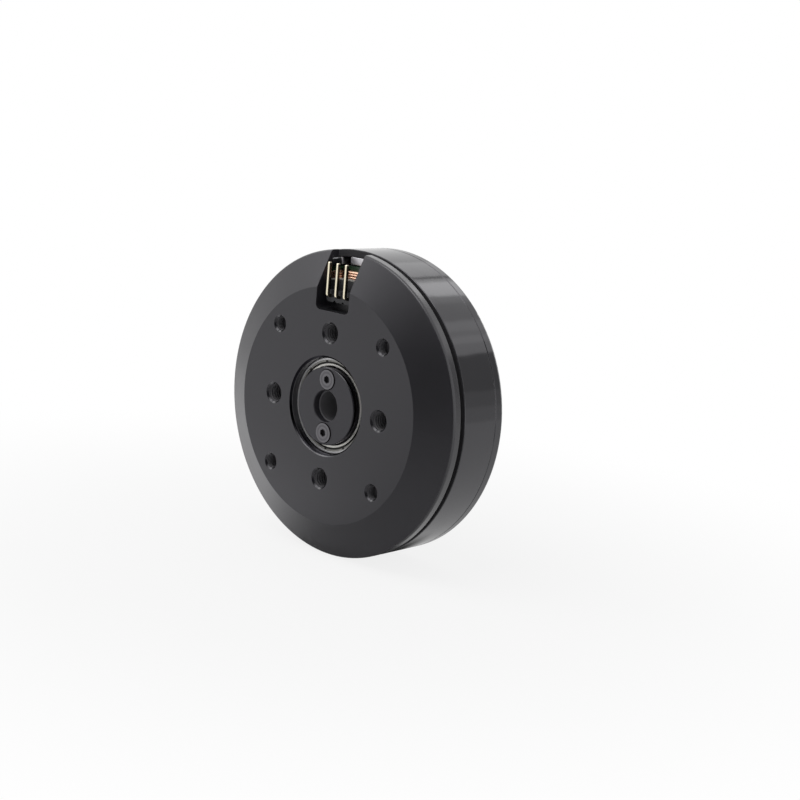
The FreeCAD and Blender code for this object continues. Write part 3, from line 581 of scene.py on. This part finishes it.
def stacked_sheets(name, settings):
    """Cut edges of steel sheets, with the dark glue lines between them."""
    finish = Finish(name)
    cloud = finish.noise(cells=800, detail=3.0)
    seams = finish.waves(finish.depth(), settings.sheet)
    line = (seams > 0.8) * 0.8
    return finish.surface({
        "Base Color": finish.tint(line + cloud * 0.2, settings.steel, 1.0, 0.2),
        "Metallic": 0.9,
        "Roughness": 0.42 + cloud * 0.16,
        "Normal": finish.bump(seams, distance=0.008 * MM),
    })


def glass_fibre(name, settings):
    """Green glass fibre sheet with its weave under the lacquer."""
    finish = Finish(name)
    thread = 0.42 * MM
    weave = finish.waves(finish.across(), thread) * finish.waves(finish.height(), thread)
    cloud = finish.noise(cells=700, detail=3.0)
    return finish.surface({
        "Base Color": finish.tint(weave * 0.25 + cloud * 0.6 + 0.2, settings.plate, 0.6, 1.5),
        "Roughness": 0.3 + cloud * 0.15,
        "Coat Weight": 0.25,
        "Coat Roughness": 0.12,
        "Normal": finish.bump(weave, distance=0.004 * MM),
    })


def enamelled_copper(name, value):
    """Copper wire under clear enamel, a little browner in places."""
    finish = Finish(name)
    cloud = finish.noise(cells=450, detail=3.0)
    streak = finish.noise(cells=3000, stretch=(0.5, 1.0, 2.0))
    return finish.surface({
        "Base Color": finish.tint(cloud * 0.7 + streak * 0.3, value, 0.78, 1.16),
        "Metallic": 1.0,
        "Roughness": 0.26 + streak * 0.14,
        "Coat Weight": 0.3,
        "Coat Roughness": 0.15,
        "Normal": finish.bump(streak, distance=0.002 * MM),
    })


def nickel_plate(name, settings):
    """Nickel plating with the faint orange peel of a barrel-plated block, and the last block dark, dull and
    not metallic except a strip along one side and one below its outer face.
    """
    finish = Finish(name)
    # The last magnet is made dark, dull and not metallic, except a strip along one side and one below its
    # outer face.
    last = settings.magnet_turn - FULL_TURN / settings.magnet_count
    across = finish.across() * math.cos(last) - finish.height() * math.sin(last)
    out = finish.across() * math.sin(last) + finish.height() * math.cos(last)
    reach = 0.5 * settings.magnet_width
    darkened_width = (abs(across) < reach) * (across < reach - settings.plain_side_strip)
    darkened_face = darkened_width * (out > 0.0) * (out < settings.magnet_outer - settings.plain_outer_strip)
    cloud = finish.noise(cells=420, detail=3.0)
    peel = finish.noise(cells=2600)
    tint = finish.tint(cloud, settings.magnet, 0.82, 1.08)
    return finish.surface({
        "Base Color": finish.blend(darkened_face, tint, settings.glue),
        "Metallic": 1.0 - darkened_face,
        "Roughness": 0.34 + cloud * 0.16 + darkened_face * 0.2,
        "Normal": finish.bump(peel, distance=0.006 * MM),
    })


def lacquered_board(name, settings):
    """Black lacquer with a satin grain, and bare glass fibre at the cut edge."""
    finish = Finish(name)
    cloud = finish.noise(cells=600, detail=3.0)
    grain = finish.noise(cells=5000)
    ragged = grain * (0.2 * MM)
    cut = finish.radius() > settings.board_outer - settings.board_bare + ragged
    lacquer = finish.tint(cloud, settings.board, 0.8, 1.2)
    fibre = finish.tint(grain, settings.board_edge, 0.7, 1.2)
    return finish.surface({
        "Base Color": finish.blend(cut, lacquer, fibre),
        "Roughness": 0.3 + cloud * 0.1 + cut * 0.3,
        "Normal": finish.bump(grain, distance=0.003 * MM),
    })


def moulded_plastic(name, value):
    """Satin plastic with the fine grain of its mould."""
    finish = Finish(name)
    cloud = finish.noise(cells=500)
    grain = finish.noise(cells=6000)
    return finish.surface({
        "Base Color": finish.tint(cloud, value, 0.85, 1.15),
        "Roughness": 0.38 + grain * 0.14,
        "Normal": finish.bump(grain, distance=0.006 * MM, edge=0.06 * MM),
    })


def gold_plate(name, settings):
    """Thin gold plating with the drawing lines of the pin, and painted shade on the sides and at the edges
    of each front face.
    """
    finish = Finish(name)
    cloud = finish.noise(cells=700, detail=3.0)
    drawn = finish.noise(cells=5000, stretch=(1.0, 0.08, 0.08))
    across = finish.across()
    own = across - (across / settings.pin_pitch).math("ROUND") * settings.pin_pitch
    # Painted shade on the sides of each pin and at the edges of its front face.
    side = abs(own) > 0.31 * settings.pin_width
    plating = finish.tint(cloud, settings.pin, 0.92, 1.06)
    return finish.surface({
        "Base Color": finish.blend(side, plating, shade(settings.pin, 0.2)),
        "Metallic": 1.0,
        "Roughness": 0.2 + drawn * 0.16,
        "Normal": finish.bump(drawn, distance=0.002 * MM, edge=0.04 * MM),
    })


def dress_slot(slot, material):
    """Give a finish to every CAD piece of one of the record's slots."""
    names = [part["node"] for part in frame["record"]["subparts"] if part["material_slot"] == slot]
    if not names:
        raise RuntimeError("no piece uses the slot " + slot)
    for name in names:
        for holder in frame["nodes"][name].material_slots:
            holder.material = material


# Modelling

def only(geometry, kind):
    return [element for element in geometry if isinstance(element, kind)]


def all_of(bm):
    return bm.verts[:] + bm.edges[:] + bm.faces[:]


def turn(bm, geometry, amount):
    """Turn geometry about the motor axis."""
    verts = only(geometry, bmesh.types.BMVert)
    bmesh.ops.rotate(bm, cent=(0, 0, 0), matrix=Matrix.Rotation(amount, 3, "Y"), verts=verts)


def turned_copies(bm, turns):
    """Replace the mesh by copies of it at the given turns about the motor axis."""
    source = all_of(bm)
    for amount in turns[1:]:
        turn(bm, bmesh.ops.duplicate(bm, geom=source)["geom"], amount)
    turn(bm, source, turns[0])


def object_from(bm, name, material):
    """Make the mesh an object of the scene."""
    mesh = bpy.data.meshes.new(name)
    bm.to_mesh(mesh)
    bm.free()
    mesh.materials.append(material)
    obj = bpy.data.objects.new(name, mesh)
    bpy.context.scene.collection.objects.link(obj)
    return obj


def piece_from(bm, name, material, body, sharp=None):
    """Make the mesh an object that rides on a body of the motor."""
    obj = object_from(bm, name, material)
    obj.data.shade_smooth()
    if sharp is not None:
        obj.data.set_sharp_from_angle(angle=sharp)
    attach(obj, body)
    return obj


def ring_of(made, verts):
    """The new edge loop at the end of an extruded tube."""
    inside = set(verts)
    return [edge for edge in only(made, bmesh.types.BMEdge) if all(v in inside for v in edge.verts)]


def draw_on(bm, loop, shift):
    """Draw a tube's end loop straight on."""
    made = bmesh.ops.extrude_edge_only(bm, edges=loop)["geom"]
    verts = only(made, bmesh.types.BMVert)
    bmesh.ops.translate(bm, vec=shift, verts=verts)
    return ring_of(made, verts)


def bend_on(bm, loop, centre):
    """Bend a tube's end loop a quarter turn on."""
    verts = list({vert for edge in loop for vert in edge.verts})
    made = bmesh.ops.spin(
        bm, geom=verts + loop, cent=centre, axis=(0, 0, 1), angle=QUARTER_TURN, steps=4, use_merge=False)
    return only(made["geom_last"], bmesh.types.BMEdge)


def wire_turn(bm, wire, half_width, half_length, middle, height, bend):
    """One closed turn of wire round a tooth that stands along +Z."""
    across = half_width - bend
    along = half_length - bend
    start = Matrix.Translation((half_width, middle - along, height)) @ Matrix.Rotation(QUARTER_TURN, 4, "X")
    before = len(bm.verts)
    made = bmesh.ops.create_circle(bm, segments=8, radius=wire, matrix=start)
    loop = list({edge for vert in made["verts"] for edge in vert.link_edges})
    front, back = middle - along, middle + along
    straights = ((0, 2 * along, 0), (-2 * across, 0, 0), (0, -2 * along, 0), (2 * across, 0, 0))
    corners = ((across, back), (-across, back), (-across, front), (across, front))
    for straight, corner in zip(straights, corners):
        loop = bend_on(bm, draw_on(bm, loop, straight), (*corner, height))
    bm.verts.ensure_lookup_table()
    bmesh.ops.remove_doubles(bm, verts=bm.verts[before:], dist=0.05 * wire)


def wound_coil(settings):
    """One coil of closed turns in three layers, the last one only where the slots are wide."""
    bm = bmesh.new()
    chance = random.Random(11)
    wire = settings.wire_radius
    step = 2.06 * wire
    layer_rise = 1.78 * wire
    middle = (settings.stack_front + settings.stack_back) / 2
    half_stack = (settings.stack_back - settings.stack_front) / 2
    reach = settings.last_turn - settings.first_turn
    wide_from = 0.52 * reach
    for layer, start in enumerate((0.0, step / 2, wide_from)):
        gap = settings.fit + wire + layer_rise * layer
        bend = (1.5 + 1.2 * layer) * wire
        for i in range(int((reach - start) / step + 1.001)):
            height = settings.last_turn - i * step - (step / 2 if layer == 1 else 0.0)
            stray = chance.uniform(-settings.spread, settings.spread)
            lift = chance.uniform(0.0, settings.spread)
            wire_turn(
                bm, wire, settings.tooth_width / 2 + gap + lift, half_stack + gap + lift, middle,
                height + stray, bend)
    bmesh.ops.recalc_face_normals(bm, faces=bm.faces)
    return bm


def phase_turns(phase, tooth_count):
    """Turns of one phase's coils: pairs of neighbouring teeth, repeated round the core."""
    step = 2 * len(PHASES)
    teeth = [start + i for start in range(2 * phase, tooth_count, step) for i in range(2)]
    return [FULL_TURN * tooth / tooth_count for tooth in teeth]


def magnet_ring(settings):
    """Blocks with rounded edges, the first of them near +Z."""
    bm = bmesh.new()
    bmesh.ops.create_cube(bm, size=1.0)
    height = settings.magnet_outer - settings.magnet_inner
    bmesh.ops.scale(bm, vec=(settings.magnet_width, settings.magnet_length, height), verts=bm.verts)
    centre = (0, settings.magnet_front + settings.magnet_length / 2, settings.magnet_inner + height / 2)
    bmesh.ops.translate(bm, vec=centre, verts=bm.verts)
    bmesh.ops.bevel(
        bm, geom=bm.edges[:], offset=settings.magnet_edge, offset_type="OFFSET", affect="EDGES",
        segments=3, profile=0.5, material=-1)
    count = settings.magnet_count
    turned_copies(bm, [settings.magnet_turn + FULL_TURN * i / count for i in range(count)])
    return bm


def cut_thread(bm, centre, radius, pitch, first, last):
    """Helical ridge on the wall of a hole along the motor axis, closed at its ends."""
    foot, ridge, steps = 0.02 * MM, 0.16 * pitch, 20
    root = radius + foot
    crest = radius - ridge
    turns = int((last - first) / pitch) - 1
    profile = ((root, 0.0), (crest, 0.32), (crest, 0.56), (root, 0.88))
    verts = [bm.verts.new((centre[0] + out, first + rise * pitch, centre[1])) for out, rise in profile]
    face = bm.faces.new(verts)
    bmesh.ops.spin(
        bm, geom=[*verts, *face.edges, face], cent=(centre[0], first, centre[1]), axis=AXIS,
        dvec=(0, pitch / steps, 0), angle=turns * FULL_TURN, steps=turns * steps, use_merge=False)


def four_round(circle, diagonal):
    """Four places round the motor axis, on the upright cross or on the diagonals."""
    first = math.pi / 4 if diagonal else 0.0
    turns = [first + i * QUARTER_TURN for i in range(4)]
    return [(circle * math.sin(amount), circle * math.cos(amount)) for amount in turns]


def shelf_object(name, bm, material):
    """An object of the studio, which is no part of the motor."""
    obj = object_from(bm, name, material)
    return obj


def facing(place, aim):
    """Matrix of something at a place whose -Z looks at an aim."""
    look = (Vector(aim) - Vector(place)).normalized()
    return Matrix.Translation(place) @ look.to_track_quat("-Z", "Y").to_matrix().to_4x4()


def softbox(name, place, width, height, radiance):
    """Soft lamp that looks at the motor and shows in reflections with the given radiance."""
    lamp = bpy.data.lights.new(name, "AREA")
    lamp.shape = "RECTANGLE"
    lamp.size = width
    lamp.size_y = height
    lamp.energy = radiance * math.pi * width * height
    obj = bpy.data.objects.new(name, lamp)
    obj.matrix_world = facing(place, CENTRE)
    obj.visible_camera = False
    bpy.context.scene.collection.objects.link(obj)


def card(name, place, width, height, radiance, aim=CENTRE, soft=0.0):
    """Grey card that only reflections see, with a soft edge where it lies flat."""
    finish = Finish(name)
    cover = 1.0
    if soft:
        across = 0.5 * width - abs(finish.across() - place[0])
        along = 0.5 * height - abs(finish.depth() - place[1])
        cover = finish.ramp(across.math("MINIMUM", along), 0.0, soft)
    bm = bmesh.new()
    bmesh.ops.create_grid(bm, x_segments=1, y_segments=1, size=0.5)
    bmesh.ops.scale(bm, vec=(width, height, 1.0), verts=bm.verts)
    bmesh.ops.transform(bm, matrix=facing(place, aim), verts=bm.verts)
    reflected_only(finish, bm, radiance, cover)


def mirrored_place(camera, body, turned, depth, distance):
    """Where the camera's line of sight goes from a place on the drum."""
    out = Vector((math.sin(turned), 0, math.cos(turned)))
    place = out * body.drum_radius + Vector((0, depth, 0))
    sight = (place - Vector(camera)).normalized()
    return place + sight.reflect(out) * distance


def bar(camera, body, name, first, last, radiance, nearer=0.0):
    """Grey bar that shows as a streak along the drum, between two turns from the top in degrees."""
    bm = bmesh.new()
    front, back = BAR_DEPTHS
    places = [
        mirrored_place(camera, body, math.radians(turned), depth, BAR_DISTANCE - nearer)
        for turned, depth in ((first, front), (last, front), (last, back), (first, back))]
    bm.faces.new([bm.verts.new(place) for place in places])
    reflected_only(Finish(name), bm, radiance, cover=1.0)


def reflected_only(finish, bm, radiance, cover):
    """Make the mesh a glowing object of the studio that only reflections see."""
    cloud = finish.noise(cells=3, detail=1.0)
    finish.surface({
        "Base Color": BLACK,
        "Specular IOR Level": 0.0,
        "Emission Color": finish.tint(cloud, WHITE, 0.9, 1.0),
        "Emission Strength": radiance,
        "Alpha": cover,
    })
    obj = shelf_object(finish.material.name, bm, finish.material)
    obj.visible_camera = False
    obj.visible_diffuse = False
    obj.visible_shadow = False


# Cards over the floor: name, X, Y, height over the floor, width, depth, radiance and soft edge

FLOOR_CARDS = (
    ("left_floor_card", -0.1375, 0.06, 0.6 * MM, 0.275, 0.24, 1.70, 0.042),
    # A dark card under the contact line that only reflections see: a painted shadow.
    ("contact_shadow_card", 0.0053, 0.0127, 0.9 * MM, 0.031, 0.0215, 0.03, 0.008),
    ("front_floor_card", 0.08, -0.155, 0.8 * MM, 0.26, 0.23, 0.5, 0.0),
    ("back_floor_card", 0.125, 0.13, 0.7 * MM, 0.26, 0.26, 0.78, 0.020),
)

# Bars beside the drum: name, first and last turn in degrees, radiance, and how much nearer one stands

STREAKS = (
    ("high_window", 17.0, 30.6, 1.4),
    ("window_post", 27.3, 28.6, 0.35, 0.01),
    ("bright_window", 30.6, 37.7, 2.3),
    ("middle_wall", 41.0, 48.8, 0.86),
    ("middle_window", 49.2, 53.0, 1.2),
    ("low_window", 55.0, 57.6, 1.25),
    ("dark_wall", 62.0, 75.3, 0.37),
    ("grey_wall", 75.3, 81.0, 0.5),
    ("pale_wall", 81.0, 88.5, 0.62),
)


# Operators

class GIMBAL_OT_base(bpy.types.Operator):
    """Finish the blasted base."""

    bl_idname = "gimbal_motor.base"
    bl_label = "Base"

    def execute(self, context):
        settings = context.scene.gimbal_motor
        dress_slot("base_anodised", blasted_anodise("blasted_black", settings.body, settings.thread))
        return {"FINISHED"}


class GIMBAL_OT_drum(bpy.types.Operator):
    """Finish the steel ring and the bell behind it."""

    bl_idname = "gimbal_motor.drum"
    bl_label = "Drum"

    def execute(self, context):
        settings = context.scene.gimbal_motor.body
        coat = coated_steel("drum_coat", settings)
        dress_slot("drum_steel", coat)
        dress_slot("bell_anodised", coat)
        return {"FINISHED"}


class GIMBAL_OT_shaft(bpy.types.Operator):
    """Finish the hollow shaft, its cap and the two cap screws."""

    bl_idname = "gimbal_motor.shaft"
    bl_label = "Shaft and cap"

    def execute(self, context):
        settings = context.scene.gimbal_motor.body
        cap = turned_anodise(
            "cap_black", settings.cap, roughness=0.4, pitch=0.12 * MM, edge=0.06 * MM,
            smooth_from=settings.cap_edge, side_from=settings.cap_side)
        shaft = turned_anodise(
            "shaft_black", shade(settings.bore, 1.15), roughness=0.7, pitch=0.2 * MM, edge=settings.edge)
        dress_slot("cap_anodised", cap)
        dress_slot("shaft_anodised", shaft)
        dress_slot("screw_black", oxide_screw("screw_oxide", settings))
        return {"FINISHED"}


class GIMBAL_OT_bearings(bpy.types.Operator):
    """Finish the rings, shields, cages and balls of the two bearings."""

    bl_idname = "gimbal_motor.bearings"
    bl_label = "Bearings"

    def execute(self, context):
        settings = context.scene.gimbal_motor.bearing
        rings = ground_steel(
            "ring_steel", settings.ring, roughness=0.22, pitch=0.09 * MM, settings=settings)
        cages = ground_steel(
            "cage_sheet", settings.shield, roughness=0.32, pitch=0.13 * MM, settings=settings)
        dress_slot("bearing_steel", rings)
        dress_slot("shield_steel", pressed_shield("shield_sheet", settings))
        dress_slot("cage_steel", cages)
        dress_slot("ball_steel", polished_steel("ball_polish", settings.ball))
        return {"FINISHED"}


class GIMBAL_OT_threads(bpy.types.Operator):
    """Cut the threads in the holes of the base and the bell."""

    bl_idname = "gimbal_motor.threads"
    bl_label = "Threads"

    def execute(self, context):
        settings = context.scene.gimbal_motor
        sizes = settings.thread
        bm = bmesh.new()
        for centre in four_round(sizes.large_circle, diagonal=False):
            cut_thread(bm, centre, sizes.large_radius, sizes.large_pitch, sizes.start, sizes.large_end)
        for centre in four_round(sizes.small_circle, diagonal=True):
            cut_thread(bm, centre, sizes.small_radius, sizes.small_pitch, sizes.start, sizes.small_end)
        self.finish_threads(bm, "base_threads", "stator", "base_anodised", settings.body)
        bm = bmesh.new()
        for centre in four_round(sizes.output_circle, diagonal=False):
            cut_thread(
                bm, centre, sizes.small_radius, sizes.small_pitch, sizes.output_front,
                sizes.output_back - sizes.start)
        self.finish_threads(bm, "output_threads", "rotor", "bell_anodised", settings.body)
        return {"FINISHED"}

    def finish_threads(self, bm, name, body, slot, settings):
        bmesh.ops.holes_fill(bm, edges=bm.edges[:])
        bmesh.ops.recalc_face_normals(bm, faces=bm.faces)
        material = turned_anodise(
            name + "_black", settings.bore, roughness=0.62, pitch=0.1 * MM, edge=settings.edge)
        piece_from(bm, name, material, body, sharp=math.radians(30))


class GIMBAL_OT_core(bpy.types.Operator):
    """Finish the stacked core and its green end plates."""

    bl_idname = "gimbal_motor.core"
    bl_label = "Core"

    def execute(self, context):
        settings = context.scene.gimbal_motor.core
        dress_slot("core_steel", stacked_sheets("core_sheets", settings))
        dress_slot("plate_green", glass_fibre("end_plate_fibre", settings))
        return {"FINISHED"}


class GIMBAL_OT_windings(bpy.types.Operator):
    """Wind the wire of the three phases on the teeth."""

    bl_idname = "gimbal_motor.windings"
    bl_label = "Windings"

    def execute(self, context):
        settings = context.scene.gimbal_motor.winding
        copper = enamelled_copper("wire_copper", settings.copper)
        dress_slot("copper", copper)
        coil = wound_coil(settings)
        for phase, node in enumerate(PHASES):
            bm = coil.copy()
            turned_copies(bm, phase_turns(phase, settings.tooth_count))
            name = node.replace("coils", "wire")
            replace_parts(piece_from(bm, name, copper, "stator"), node)
        coil.free()
        return {"FINISHED"}


class GIMBAL_OT_magnets(bpy.types.Operator):
    """Set the plated magnets in the drum."""

    bl_idname = "gimbal_motor.magnets"
    bl_label = "Magnets"

    def execute(self, context):
        settings = context.scene.gimbal_motor.core
        nickel = nickel_plate("magnet_plating", settings)
        blocks = piece_from(
            magnet_ring(settings), "magnet_blocks", nickel, "rotor", sharp=math.radians(40))
        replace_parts(blocks, "magnets")
        return {"FINISHED"}


class GIMBAL_OT_connector(bpy.types.Operator):
    """Finish the terminal board, the header and its pins."""

    bl_idname = "gimbal_motor.connector"
    bl_label = "Connector"

    def execute(self, context):
        settings = context.scene.gimbal_motor.connector
        dress_slot("board_black", lacquered_board("board_lacquer", settings))
        dress_slot("header_plastic", moulded_plastic("header_moulding", settings.header))
        dress_slot("pin_gold", gold_plate("pin_plating", settings))
        return {"FINISHED"}


class GIMBAL_OT_studio(bpy.types.Operator):
    """Set up the floor, the lights and the camera."""

    bl_idname = "gimbal_motor.studio"
    bl_label = "Studio"

    def execute(self, context):
        settings = context.scene.gimbal_motor.studio
        context.scene.view_settings.view_transform = "Standard"
        self.light_world(context.scene, settings)
        floor = self.lay_floor(settings)
        self.place_lamps(settings, context.scene.gimbal_motor.body, floor)
        self.place_camera(context.scene, settings)
        return {"FINISHED"}

    def light_world(self, scene, settings):
        world = bpy.data.worlds.new("studio_white")
        world.use_nodes = True
        scene.world = world
        nodes = Nodes(world.node_tree)
        ambient = nodes.node("ShaderNodeBackground", None, {"Color": WHITE, "Strength": settings.ambient})
        white = nodes.node("ShaderNodeBackground", None, {"Color": WHITE, "Strength": 1.0})
        camera, mirrored = nodes.sight()
        nodes.show("World Output", camera + mirrored, ambient, white)

    def lay_floor(self, settings):
        """Lay a pale floor under the base, and give its height."""
        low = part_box("stator_base")[0]
        finish = Finish("floor_paper")
        grain = finish.noise(cells=900)
        finish.surface({
            "Base Color": finish.tint(grain, settings.floor, 0.98, 1.0),
            "Roughness": 0.9,
            "Specular IOR Level": 0.1,
        })
        white = finish.node("ShaderNodeEmission", None, {"Color": WHITE, "Strength": 1.0})
        away = span(finish.across(), finish.depth())
        camera, mirrored = finish.sight()
        plain = camera * finish.ramp(away, *FLOOR_FADE, settings.floor_glow)
        reflected = mirrored * finish.ramp(away, *FLOOR_FADE, settings.mirror_glow)
        finish.show("Material Output", plain + reflected, finish.shader, white)
        bm = bmesh.new()
        bmesh.ops.create_circle(bm, cap_ends=True, segments=64, radius=FLOOR_RADIUS)
        bmesh.ops.translate(bm, vec=(0, 0, low[2]), verts=bm.verts)
        shelf_object("floor", bm, finish.material)
        return low[2]

    def place_lamps(self, settings, body, floor):
        softbox("key_box", (-0.280, -0.149, 0.276), width=0.24, height=0.16, radiance=2.2)
        softbox("top_box", (-0.02, -0.16, 0.42), width=0.30, height=0.24, radiance=1.65)
        card("front_card", (0.089, -0.273, 0.064), width=0.42, height=0.33, radiance=0.03)
        card("spark_card", (-0.025, -0.11, 0.22), width=0.10, height=0.06, radiance=4.0)
        for name, across, depth, lift, width, height, radiance, soft in FLOOR_CARDS:
            place = (across, depth, floor + lift)
            card(name, place, width, height, radiance, aim=(across, depth, 0.0), soft=soft)
        for streak in STREAKS:
            bar(settings.camera, body, *streak)

    def place_camera(self, scene, settings):
        azimuth = settings.azimuth
        level = math.cos(settings.elevation)
        back = Vector((math.sin(azimuth) * level, -math.cos(azimuth) * level, math.sin(settings.elevation)))
        flat = Vector((0, 0, 1)).cross(back).normalized()
        high = back.cross(flat)
        right = math.cos(settings.roll) * flat + math.sin(settings.roll) * high
        up = math.cos(settings.roll) * high - math.sin(settings.roll) * flat
        data = bpy.data.cameras.new("photo_camera")
        data.lens = settings.lens
        data.sensor_width = SENSOR_WIDTH
        data.clip_start = NEAREST_SEEN
        camera = bpy.data.objects.new("photo_camera", data)
        turned = Matrix((right, up, back)).transposed().to_4x4()
        camera.matrix_world = Matrix.Translation(settings.camera) @ turned
        scene.collection.objects.link(camera)
        scene.camera = camera


class GIMBAL_PT_panel(bpy.types.Panel):
    """The motor's steps and settings in the sidebar."""

    bl_idname = "GIMBAL_PT_panel"
    bl_label = "Gimbal motor"
    bl_space_type = "VIEW_3D"
    bl_region_type = "UI"
    bl_category = "Gimbal motor"

    def draw(self, context):
        for step in STEPS:
            self.layout.operator(step.bl_idname)
        settings = context.scene.gimbal_motor
        for group in type(settings).__annotations__:
            box = self.layout.box()
            box.label(text=group.capitalize())
            holder = getattr(settings, group)
            for name in type(holder).__annotations__:
                box.prop(holder, name)


SETTINGS = (
    BodySettings, BearingSettings, ThreadSettings, WindingSettings, CoreSettings, ConnectorSettings,
    StudioSettings, MotorSettings,
)
STEPS = (
    GIMBAL_OT_base, GIMBAL_OT_drum, GIMBAL_OT_shaft, GIMBAL_OT_bearings, GIMBAL_OT_threads, GIMBAL_OT_core,
    GIMBAL_OT_windings, GIMBAL_OT_magnets, GIMBAL_OT_connector, GIMBAL_OT_studio,
)
CLASSES = (*SETTINGS, *STEPS, GIMBAL_PT_panel)


def register():
    for cls in CLASSES:
        bpy.utils.register_class(cls)
    bpy.types.Scene.gimbal_motor = PointerProperty(type=MotorSettings)


def unregister():
    del bpy.types.Scene.gimbal_motor
    for cls in reversed(CLASSES):
        bpy.utils.unregister_class(cls)


def main():
    register()
    bpy.ops.gimbal_motor.base()
    bpy.ops.gimbal_motor.drum()
    bpy.ops.gimbal_motor.shaft()
    bpy.ops.gimbal_motor.bearings()
    bpy.ops.gimbal_motor.threads()
    bpy.ops.gimbal_motor.core()
    bpy.ops.gimbal_motor.windings()
    bpy.ops.gimbal_motor.magnets()
    bpy.ops.gimbal_motor.connector()
    bpy.ops.gimbal_motor.studio()


if __name__ == "__main__":
    main()
